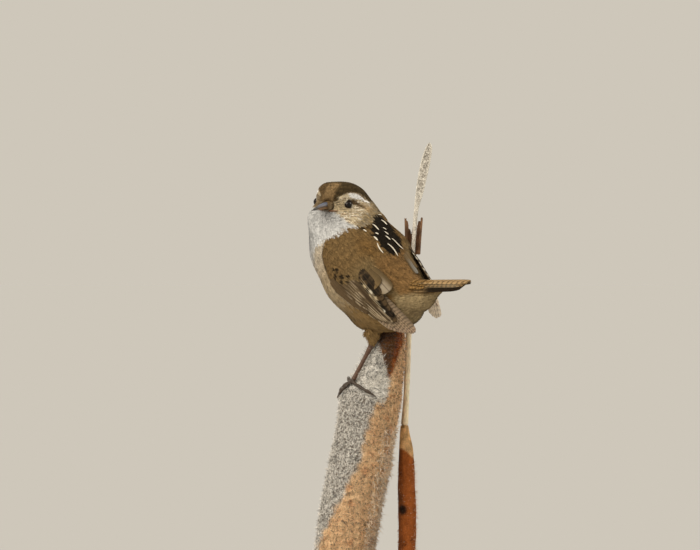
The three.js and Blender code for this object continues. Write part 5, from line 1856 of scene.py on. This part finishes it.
def cattail_point(z: Array, angle: Array, out: Array = 0.0) -> Array:
    """A point over the cattail head, by height, angle from +X and how far out."""
    z, angle, out = np.broadcast_arrays(*(np.asarray(v, float) for v in (z, angle, out)))
    shape = z.shape
    edges = along(CATTAIL_ROWS, z.ravel())
    left, right = edges[:, 0].reshape(shape), edges[:, 1].reshape(shape)
    lean = np.clip((z - 96) / 20, 0, 1)
    wide = (right - left) / 2 + out
    deep = wide * (1 + 0.5 * lean**2)
    wave = 1 + 0.018 * np.sin(3 * angle + z / 9) + 0.012 * np.sin(5 * angle - z / 5)
    x = (left + right) / 2 + np.cos(angle) * wide * wave
    return np.stack([x, np.sin(angle) * deep * wave, z], axis=-1)


@dataclass
class Leg:
    """Tarsus with its scales, and a foot whose clawed toes grip the cattail."""

    side: Side
    ankle: tuple[float, float, float]
    foot: tuple[float, float]
    toes: tuple[tuple[tuple[float, float], ...], ...]
    tarsus_radius: float = 0.95
    toe_radius: float = 0.78

    def build(self) -> None:
        """Makes the tarsus and the foot."""
        foot = cattail_point(self.foot[0], math.radians(self.foot[1]), 1.5)
        ankle = np.array(self.ankle)
        down = unit(foot - ankle)
        path = np.linspace(ankle - down * 0.8, foot - down * 0.3, 20)
        bulge = lambda t: np.interp(t, [0, 0.1, 0.3, 0.85, 1], [1.15, 1.0, 0.8, 0.8, 1.0]) * self.tarsus_radius * 1.12
        tarsus = rod(f"tarsus_{self.side.word}_scales", path, bulge, 14, 60)
        self._dress(tarsus, "tarsus", "#5a3f2e")
        ball = lambda t: 1.05 * np.sqrt(np.clip(1 - (2 * t - 1) ** 2, 0, 1))
        pieces = [rod("pad", np.linspace(foot - down * 0.9, foot + down * 0.9, 8), ball, 12, 10)]
        for toe in self.toes:
            pieces += self._toe(foot, toe)
        grip = joined(f"foot_{self.side.word}_toes", pieces)
        self._dress(grip, "foot", "#43362b")

    def _toe(self, foot: Array, toe: Sequence[tuple[float, float]]) -> list[bpy.types.Object]:
        """A jointed toe with its pads, and the curved claw at its end."""
        out = [self.toe_radius + 0.42, self.toe_radius + 0.57, self.toe_radius + 0.42, 0.5]
        spots = [cattail_point(z, math.radians(a), o) for (z, a), o in zip(toe, out)]
        path = run_through([foot, *spots[:3]], 30)
        knuckles = lambda t: self.toe_radius * (0.95 + 0.16 * np.sin(t * 17)) * (1 - 0.25 * t)
        bone = rod("toe", path, knuckles, 10, 30)
        _, knuckle, end, point = spots
        over = end - cattail_point(toe[2][0], math.radians(toe[2][1]), 0)
        hook = run_through([end - (end - knuckle) * 0.08, (end + point) / 2 + over * 0.35, point], 14)
        claw = rod("claw", hook, lambda t: 0.46 * (1 - t) ** 0.8 + 0.03, 8, 14)
        return [bone, claw]

    def _dress(self, obj: bpy.types.Object, node: str, code: str) -> None:
        """Colours a piece of the leg, a little unevenly."""
        p = corners(obj)
        color = tone(code) * (1 + 0.18 * ripple(p, 3.0, 9)[:, None])
        carry(obj, "tint", color)
        word = self.side.word
        settle(obj, Scales(f"{node}_{word}_skin"), "leg_scales", f"{node}_{word}")


# The perch


class DownColours:
    """The cattail head's colours by height and angle."""

    felt = tone("#ece7df")
    tan = tone("#fad3a4")
    rust = tone("#b0642c")
    velvet = tone("#795332")
    white = tone("#faf6ee")
    border = ((24, 34.6, 42, 54.2, 59.6, 64.5, 82.5, 92), (-25, -21.3, -17.6, -11.9, -9.0, -6.15, -2.5, 2.0))
    slope_end = ((88, 93, 99, 104), (4.0, 5.6, 6.0, 5.0))
    patch_heights = (98.4, 99.5, 103, 106.7, 112, 117, 121)
    patch_edges = (
        (6.0, 5.5, 4.6, 3.3, 1.7, 2.0, 2.2),
        (6.0, 6.0, 6.3, 7.0, 7.9, 9.2, 10.0),
        (6.0, 6.4, 7.6, 9.4, 11.0, 12.0, 12.6),
    )
    holes = ((2.5, 104.7, 0.75), (-4.1, 38.7, 0.7), (-3.4, 36.8, 0.5))

    @classmethod
    def at(cls, p: Array) -> tuple[Array, Array]:
        """The colour at each point of the cattail head, and how speckled it is there."""
        x, y, z = p.T
        front = ease(4, -6, y)
        facing = 1 - ease(3, 8, y)
        border = np.interp(z, *cls.border) + 0.9 * ripple(p, 5, 2)
        white = (1 - ease(-1.2, 1.2, x - border)) * facing
        mottle = ripple(p, 4.0, 1) * 0.6 + ripple(p, 1.8, 3) * 0.4
        color = cls.tan * (1 + 0.16 * mottle[:, None])
        color = Markings.over(color, 0.35 * ease(0.2, 0.9, mottle), cls.rust)
        color = Markings.over(color, white, cls.felt * (1 + 0.1 * mottle[:, None]))
        past = x + 0.6 * mottle - np.interp(z, *cls.slope_end)
        slope = ease(88, 92, z + 0.5 * x) * (1 - ease(-0.6, 0.6, past)) * facing
        color = Markings.over(color, slope, cls.white)
        torn = x + 0.7 * mottle
        left, dark, rusty = (np.interp(z, cls.patch_heights, edge) for edge in cls.patch_edges)
        inside = ease(-0.35, 0.35, torn - left) * ease(98.4, 99.6, z) * front
        rust, velvet = (inside * (1 - ease(-soft, soft, torn - to)) for soft, to in ((0.6, rusty), (0.5, dark)))
        color = Markings.over(color, rust, cls.rust * (1 + 0.3 * mottle[:, None]))
        color = Markings.over(color, velvet, cls.velvet * (1 + 0.2 * mottle[:, None]))
        # the holes are only painted: the dark core showing in them, darkened to near black as painted shade inside
        for hole_x, hole_z, wide in cls.holes:
            hole = spot(np.hypot(x - hole_x, z - hole_z), wide, 0.6) * front
            color = Markings.over(color, hole, cls.velvet * 0.25)
        bare = (1 - white) * (1 - slope)
        color = Markings.over(color, 0.4 * ease(0.3, 0.8, ripple(p, 6.5, 7)) * bare, cls.rust * 1.2)
        return color, np.clip(0.85 * white * (1 - slope) + 0.1 * slope + 0.15 * bare, 0, 1)


@dataclass
class CattailHead:
    """The weathered head of seed down that the bird grips, with loose fibres all over it."""

    around: int = 120
    rings: int = 200
    tufts: int = 8500
    frayed = tone("#fdf0dc")
    seed: int = 51

    def build(self) -> None:
        """Makes the matted body of the head and its loose fibres."""
        self._body()
        self._fibres("cattail_fibres_low", 24, 70, self.seed)
        self._fibres("cattail_fibres_high", 70, 120.5, self.seed + 1)

    def _body(self) -> None:
        """The matted down, lumpy all over."""
        low, high = CATTAIL_ROWS[0][0], CATTAIL_ROWS[-1][0]

        def place(share: Array, angle: Array) -> Array:
            """The head's skin, closed at both ends, with small lumps pressed into it."""
            t = np.clip((share - 0.03) / 0.94, 0, 1)
            eased = 0.5 - 0.5 * np.cos(math.pi * t)
            z = high + (low - high) * (0.8 * t + 0.2 * eased)
            p = cattail_point(z, angle, -0.35)
            lumps = 0.3 * ripple(p, 3.1, 1) + 0.16 * ripple(p, 1.3, 2) - 0.25
            p = cattail_point(z, angle, -0.35 + lumps)
            middle = np.stack([along(CATTAIL_ROWS, z).mean(axis=1), np.zeros(len(z)), z], axis=1)
            return middle + (p - middle) * closing(share, 0.03)[:, None]

        obj = shaped("cattail_down", self.around, self.rings, place)
        color, specks = DownColours.at(corners(obj))
        carry(obj, "tint", color * 0.97)
        carry(obj, "specks", specks)
        settle(obj, Felt("matted_down"), "cattail_fluff", "perch_cattail")

    def _fibres(self, name: str, low: float, high: float, seed: int) -> None:
        """Short curling fibres, more and longer at the ragged edges."""
        rng = np.random.default_rng(seed)
        many = self.tufts
        z = rng.uniform(low, high, many)
        angle = rng.uniform(0, TURN, many)
        root = cattail_point(z, angle, -0.55)
        skin = cattail_point(z, angle, 0.0)
        out = unit(cattail_point(z, angle, 1.0) - skin)
        color, _ = DownColours.at(skin)
        up = np.array([0, 0, 1.0])
        lean = rng.normal(0, 1, (many, 1)) * np.cross(out, up) + rng.normal(-0.25, 0.8, (many, 1)) * up
        run = unit(out * rng.uniform(0.12, 0.8, (many, 1)) + unit(lean))
        ragged = (np.cos(angle) > 0.6) & (z < 78)
        slope = (z > 88) & (z < 112) & (root[:, 0] < 4)
        length = rng.uniform(0.8, 2.0, many) * np.where(ragged | slope, 1.6, 1.0)
        side = unit(np.cross(run, out))
        curl = unit(np.cross(run, side)) * rng.normal(0, 0.7, (many, 1)) + side * rng.normal(0, 0.7, (many, 1))
        strands = (root, run, side, 0.55 * curl, length, rng.uniform(0.1, 0.24, many))
        own = rng.random(many)
        shade = np.where(own < 0.36, 0.22 + 0.9 * own, 0.72 + 0.55 * own) + 0.2 * ragged
        color = Markings.over(color, 0.65 * ragged, self.frayed) * shade[:, None]
        hairs(name, "cattail_fluff", Fibre("seed_fibres"), (angle, z), strands, color, (0.72, 0.4))


@dataclass
class Stems:
    """The thin spike with its stalk, the dry leaf behind the bird and the torn husk round its foot."""

    spike: tuple = (
        (24, 13.1, 2.2, 3.5), (48, 13.2, 3.6, 3.62), (61, 12.9, 4.6, 3.3),
        (69, 12.7, 5.3, 2.85), (75, 12.3, 5.9, 2.1), (79, 12.2, 6.3, 1.55),
    )
    stalk: tuple = (
        (79, 12.2, 6.3, 1.5), (90, 12.9, 8.6, 1.2), (98, 13.2, 10.4, 1.25),
        (117, 14, 14, 1.2), (136, 15, 16, 1.1), (149, 15.7, 16.4, 1.0),
    )
    leaf: tuple = (
        (149.4, 15.7, 16.4, 0.86), (160, 16.4, 16.2, 0.84), (168, 17.1, 16, 0.95), (174, 18.3, 15.8, 1.5),
        (181, 19.6, 15.6, 1.9), (189, 21.3, 15.4, 1.86), (193.4, 22.3, 15.3, 1.3), (195.4, 22.6, 15.2, 0.35),
    )
    strips: tuple = (
        (206, 160, 164.4, -0.2), (178, 128, 162.8, 0.1), (140, 100, 159.5, -0.1),
        (104, 66, 160.5, 0.1), (70, 14, 163.0, 0.1), (34, -26, 164.2, 0.2),
    )
    husk_at: tuple[float, float] = (15.6, 16.6)
    husk_low: float = 149.0
    hair_count: int = 1500

    def build(self) -> None:
        """Makes the spike with its hairs, the stalk, the leaf and the husk."""
        velvet, straw = Felt("rusty_velvet", 0.6), Straw("straw")
        self._stem("spike_velvet_body", self.spike, (40, 90), self._spike_tint, velvet, "spike_velvet", "perch_spike")
        self._stem("stalk_straw", self.stalk, (18, 70), self._stalk_tint, straw, "dry_stalk", "perch_stalk")
        self._fuzz()
        self._leaf()
        self._husk()

    @staticmethod
    def _stem(
        name: str,
        rows: tuple,
        steps: tuple[int, int],
        tint: Callable[[Array], Array],
        finish: Finish,
        slot: str,
        node: str,
    ) -> None:
        """A round stem.

        Args:
            name: the piece's name.
            rows: heights, places and radii that it runs through.
            steps: its sides round and its rings.
            tint: the colour at given points.
            finish: its finish.
            slot: a name for the material's slot; not used.
            node: the CAD node that it stands for.
        """

        def place(share: Array, angle: Array) -> Array:
            """The stem's skin, flat at both ends."""
            t = np.clip((share - 0.02) / 0.96, 0, 1)
            z = rows[0][0] + (rows[-1][0] - rows[0][0]) * t
            x, y, r = along(rows, z).T
            r = r * closing(share, 0.02)
            lump = 1 + 0.04 * np.sin(3 * angle + z * 0.21) + 0.02 * np.sin(7 * angle - z * 0.5)
            return np.stack([x + np.cos(angle) * r * lump, y + np.sin(angle) * r * lump, z], axis=1)

        obj = shaped(name, *steps, place)
        p = corners(obj)
        carry(obj, "tint", tint(p))
        if isinstance(finish, Felt):
            carry(obj, "specks", ease(0.2, 0.8, ripple(p, 6, 4)))
        settle(obj, finish, slot, node)

    @staticmethod
    def _spike_tint(p: Array) -> Array:
        """Rusty velvet, darker on its left as painted shade, with a tan sheath round its top."""
        z = p[:, 2]
        mottle = ripple(p, 3.2, 2) * 0.6 + ripple(p, 1.3, 3) * 0.4
        color = tone("#a35a28") * (1 + 0.22 * mottle[:, None])
        # the left side darkened: painted shade
        left = ease(12.4, 10.6, p[:, 0])
        color = Markings.over(color, 0.55 * left, tone("#62371a"))
        turn = np.arctan2(p[:, 1] - 5, p[:, 0] - 12.7)
        burnt = spot(np.hypot(p[:, 0] - 11.4, (z - 44.5) * 0.8), 2.4, 0.6) * ease(5, 3, p[:, 1])
        color = Markings.over(color, 0.95 * burnt, tone("#1c120c"))
        brown = spot(np.abs(z - 49), 4.0, 0.9) * left
        color = Markings.over(color, 0.6 * brown, tone("#4a2c18"))
        sheath = ease(66.5, 67.3, z + 2.6 * np.sin(turn + 0.9))
        fold = 0.5 + 0.5 * np.sin(turn * 2 - z * 0.9)
        return Markings.over(color, sheath, tone("#e0b27c") * (0.75 + 0.45 * fold[:, None]))

    @staticmethod
    def _stalk_tint(p: Array) -> Array:
        """Straw, brighter than its own colour as painted back light, with a dark line of painted shade down its left.
        """
        mottle = ripple(p, 4.0, 2)
        # the straw tone is lifted as painted back light
        color = tone("#ffeccb") * (1 + 0.1 * mottle[:, None])
        mid = np.interp(p[:, 2], [79, 98, 149], [12.2, 13.2, 15.7])
        # a dark line down the left edge: painted shade
        line = ease(-0.35, -0.95, p[:, 0] - mid)
        return Markings.over(color, 0.6 * line, tone("#5b4029"))

    def _fuzz(self) -> None:
        """Short hairs of the spike's velvet, palest and longest along its right edge."""
        rng = np.random.default_rng(61)
        many = self.hair_count
        z = rng.uniform(25, 64, many)
        angle = rng.uniform(0, TURN, many)
        x, y, r = along(self.spike, z).T
        out = np.stack([np.cos(angle), np.sin(angle), np.zeros(many)], axis=1)
        root = np.stack([x, y, z], axis=1) + out * (r - 0.15)[:, None]
        edge = np.cos(angle) > 0.75
        lean = rng.normal(0, 0.6, (many, 3))
        run = unit(out * rng.uniform(0.2, 1.0, (many, 1)) + lean)
        length = rng.uniform(0.5, 1.1, many) * np.where(edge, 1.8, 1.0)
        side = unit(np.cross(run, out + [0, 0, 0.01]))
        width = rng.uniform(0.05, 0.1, many)
        strands = (root, run, side, side * rng.normal(0, 0.5, (many, 1)), length, width)
        pale = (edge & (rng.random(many) < 0.7)) | (rng.random(many) < 0.06)
        color = Markings.over(self._spike_tint(root) * 1.3, pale.astype(float), tone("#e8d3b4"))
        hairs("spike_hairs", "spike_velvet", Fibre("spike_hair"), (angle, z), strands, color)

    def _leaf(self) -> None:
        """A thin dry leaf with rolled pale edges, ending in a thread."""
        low, high = self.leaf[0][0], self.leaf[-1][0]

        def place(share: Array, angle: Array) -> Array:
            """A gutter whose two edges roll forward."""
            z = low + (high - low) * share
            x, y, half = along(self.leaf, z).T
            open_share = np.clip((z - 164) / 12, 0, 1)
            pole = closing(share, 0.01)
            c, s = np.cos(angle), np.sin(angle)
            deep = np.minimum(half, 0.95)
            front = -0.8 + 0.75 * open_share * (1 - np.abs(c) ** 3)
            depth = np.where(s < 0, -s * front, s * 0.85) * deep
            return np.stack([x + c * half * pole, y + depth * pole, z], axis=1)

        obj = shaped("leaf_blade", 32, 120, place)
        p = corners(obj)
        x, _, half = along(self.leaf, p[:, 2]).T
        edge = ease(0.55, 0.9, np.abs(p[:, 0] - x) / half)
        mottle = ripple(p, 3.0, 4)
        color = tone("#ece5d8") * (1 + 0.2 * mottle[:, None])
        color = Markings.over(color, 0.9 * np.maximum(edge, 1 - ease(166, 176, p[:, 2])), tone("#fff9ec"))
        carry(obj, "tint", color)
        carry(obj, "specks", 0.45 * (1 - edge) * ease(166, 176, p[:, 2]))
        settle(obj, Felt("bleached_leaf"), "dry_leaf", "perch_leaf")

    def _husk(self) -> None:
        """The rotten sheath round the leaf's foot, open to the front, its top torn to points."""
        obj = joined("husk_sheath", [self._strip(*strip) for strip in self.strips])
        color = tone("#7a5a40") * (1 + 0.5 * ripple(corners(obj) * [1, 1, 0.3], 1.6, 5)[:, None])
        carry(obj, "tint", color)
        settle(obj, Straw("rotten_husk", 2.4, 0.6, 0.85), "dark_husk", "perch_husk")

    def _strip(self, first: float, last: float, top: float, lean: float) -> bpy.types.Object:
        """One torn strip of the husk between two angles, up to its top, where it leans to one side."""

        def place(share: Array, angle: Array) -> Array:
            """A bent strip with an inner and an outer face, narrowing to a torn point."""
            turn = np.arctan2(np.sin(angle), np.cos(angle))
            side = 2 * np.abs(turn) / math.pi - 1
            point = np.clip(3.2 * (1 - share), 0, 1) ** 0.6
            middle = (first + last) / 2 + 3 * np.sin(share * 5 + first)
            a = np.radians(middle + side * (last - first) / 2 * (0.12 + 0.88 * point))
            z = self.husk_low + (top - self.husk_low + 0.5 * np.sin(side * 7 + first)) * share
            thick = np.where(turn >= 0, 3.6, 2.85) * (0.9 + 0.1 * share) - 3.2
            r = 3.2 + thick * closing(share, 0.02)
            x = self.husk_at[0] + lean * share**2 + (z - 150.5) / 32
            return np.stack([x + np.cos(a) * r, self.husk_at[1] + np.sin(a) * r, z], axis=1)

        return shaped(f"strip_{first}", 20, 30, place)


@dataclass
class Stand:
    """The round wooden base and its two rods."""

    profile: tuple = (
        (0, 0), (44.2, 0), (45, 0.8), (45, 5.2), (44.6, 5.9), (43.6, 6.2), (43.2, 6.7), (43.0, 7.4), (42.2, 8), (0, 8),
    )
    rods: tuple[str, ...] = ("stand_rod_cattail", "stand_rod_spike")

    def build(self) -> None:
        """Turns the base and dresses the rods."""
        outline = np.array(self.profile)
        steps = along_path(outline)
        edges, below, above = steps[1:-1], np.linspace(2, 42, 12), steps[-1] - np.linspace(2, 40, 12)
        stops = np.sort(np.concatenate([steps, edges - 0.12, edges + 0.12, below, above]))

        def place(share: Array, angle: Array) -> Array:
            """The turned profile."""
            t = np.interp(1 - share, np.linspace(0, 1, len(stops)), stops)
            r = np.interp(t, steps, outline[:, 0])
            z = np.interp(t, steps, outline[:, 1])
            return np.stack([r * np.cos(angle), r * np.sin(angle), z], axis=1)

        obj = shaped("stand_base_turned", 128, len(stops) - 1, place)
        only(obj)
        bpy.ops.object.shade_smooth_by_angle(angle=math.radians(35))
        settle(obj, TurnedWood("stained_wood"), "stand_wood", "stand_base")
        steel = BrushedRod("rod_steel").material()
        for name in self.rods:
            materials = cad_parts[name].data.materials
            materials.clear()
            materials.append(steel)


@dataclass
class Studio:
    """Floor, light and the camera at the photo's angle."""

    frame_centre: tuple[float, float, float] = (-10.25, 0.0, 140.75)
    frame_width: float = 287.0
    distance: float = 2600.0
    floor_radius: float = 90.0
    sensor: float = 36.0
    elevation: float = 0.0
    sky: str = "#cec7ba"
    suns: tuple = (
        ("key", (-0.55, -0.66, 0.8), 2.4, 50.0, "#fff7ea"),
        ("rim", (0.85, 0.45, 0.6), 0.8, 25.0, "#fff4e4"),
    )

    def build(self) -> None:
        """Lays the floor, hangs the lights and sets up the camera."""
        self._floor()
        self._lights()
        self._camera()

    def _floor(self) -> None:
        """A wide plain floor that reflects just as much light as the sky sends, so that no horizon shows."""
        bpy.ops.object.select_all(action="DESELECT")
        bpy.ops.mesh.primitive_circle_add(vertices=96, radius=self.floor_radius, fill_type="NGON")
        floor = bpy.context.object
        floor.name = "floor"
        sky = tone(self.sky)
        fall = np.zeros(3)
        for _, direction, energy, _, code in self.suns:
            fall = fall + energy * direction[2] / np.linalg.norm(direction) * tone(code)
        p = Paint("pale_floor")
        p.close(p.node("ShaderNodeBsdfDiffuse", sockets={"Color": sky / (sky + fall / math.pi)}))
        floor.data.materials.append(p.material)

    def _lights(self) -> None:
        """A large soft key from above and in front, a weak rim from the right, and an even sky."""
        world = bpy.data.worlds.new("soft_sky")
        bpy.context.scene.world = world
        world.use_nodes = True
        sky = world.node_tree.nodes["Background"]
        sky.inputs["Color"].default_value = (*tone(self.sky), 1.0)
        for name, direction, energy, wide, code in self.suns:
            light = bpy.data.lights.new(name, "SUN")
            light.energy = energy
            light.angle = math.radians(wide)
            light.color = tone(code)
            lamp = bpy.data.objects.new(name, light)
            bpy.context.scene.collection.objects.link(lamp)
            lamp.rotation_euler = Vector(direction).to_track_quat("Z", "Y").to_euler()

    def _camera(self) -> None:
        """A long lens at the photo's angle, with the photo's framing."""
        lens = bpy.data.cameras.new("camera")
        camera = bpy.data.objects.new("camera", lens)
        bpy.context.scene.collection.objects.link(camera)
        e = math.radians(self.elevation)
        back = Vector((0, -math.cos(e), math.sin(e)))
        camera.location = (Vector(self.frame_centre) + back * self.distance) * MM
        camera.rotation_euler = (-back).to_track_quat("-Z", "Y").to_euler()
        lens.sensor_width = self.sensor
        lens.lens = self.sensor * self.distance / self.frame_width
        lens.clip_end = 200
        bpy.context.scene.camera = camera
        view = bpy.context.scene.view_settings
        view.view_transform = "Standard"
        view.look = "None"


LEGS = (
    Leg(
        Side.LEFT,
        (-1.7, -6.7, 111.6),
        (97.6, 214),
        (
            ((96.6, 222), (94.2, 250), (92.4, 268), (90.8, 279)),
            ((96.6, 206), (93.6, 196), (91.6, 187), (89.6, 181)),
            ((97, 203), (94.6, 184), (92.6, 170), (90.6, 160)),
            ((97.4, 200), (98.4, 182), (98.4, 168), (97.8, 157)),
        ),
    ),
    Leg(
        Side.RIGHT,
        (6.2, 12.8, 115.4),
        (100.2, 112),
        (
            ((99.5, 101), (97.6, 80), (96.2, 60), (95, 46)),
            ((99.3, 120), (97.2, 129), (95.8, 136), (94.6, 141)),
            ((98.9, 116), (95.6, 122), (92.9, 128), (90.8, 131)),
            ((98.7, 109), (95.2, 104), (92.3, 100), (90, 97)),
        ),
    ),
)


def main() -> None:
    """Builds the bird, its perch, the stand and the studio, in that order."""
    logging.basicConfig(level=logging.INFO, format="%(name)s %(message)s")
    Studio().build()
    flesh = Flesh()
    LOG.info("form: %d points", len(flesh.mesh_points))
    stiff = Vaned("stiff_feathers")
    for side in Side:
        Wing(flesh, side).build(stiff)
    Tail().build(stiff)
    Face(flesh).build()
    Streaks(flesh).build(Down("streak_plumage"))
    Plumage(flesh).build()
    for leg in LEGS:
        leg.build()
    CattailHead().build()
    Stems().build()
    Stand().build()


if __name__ == "__main__":
    main()
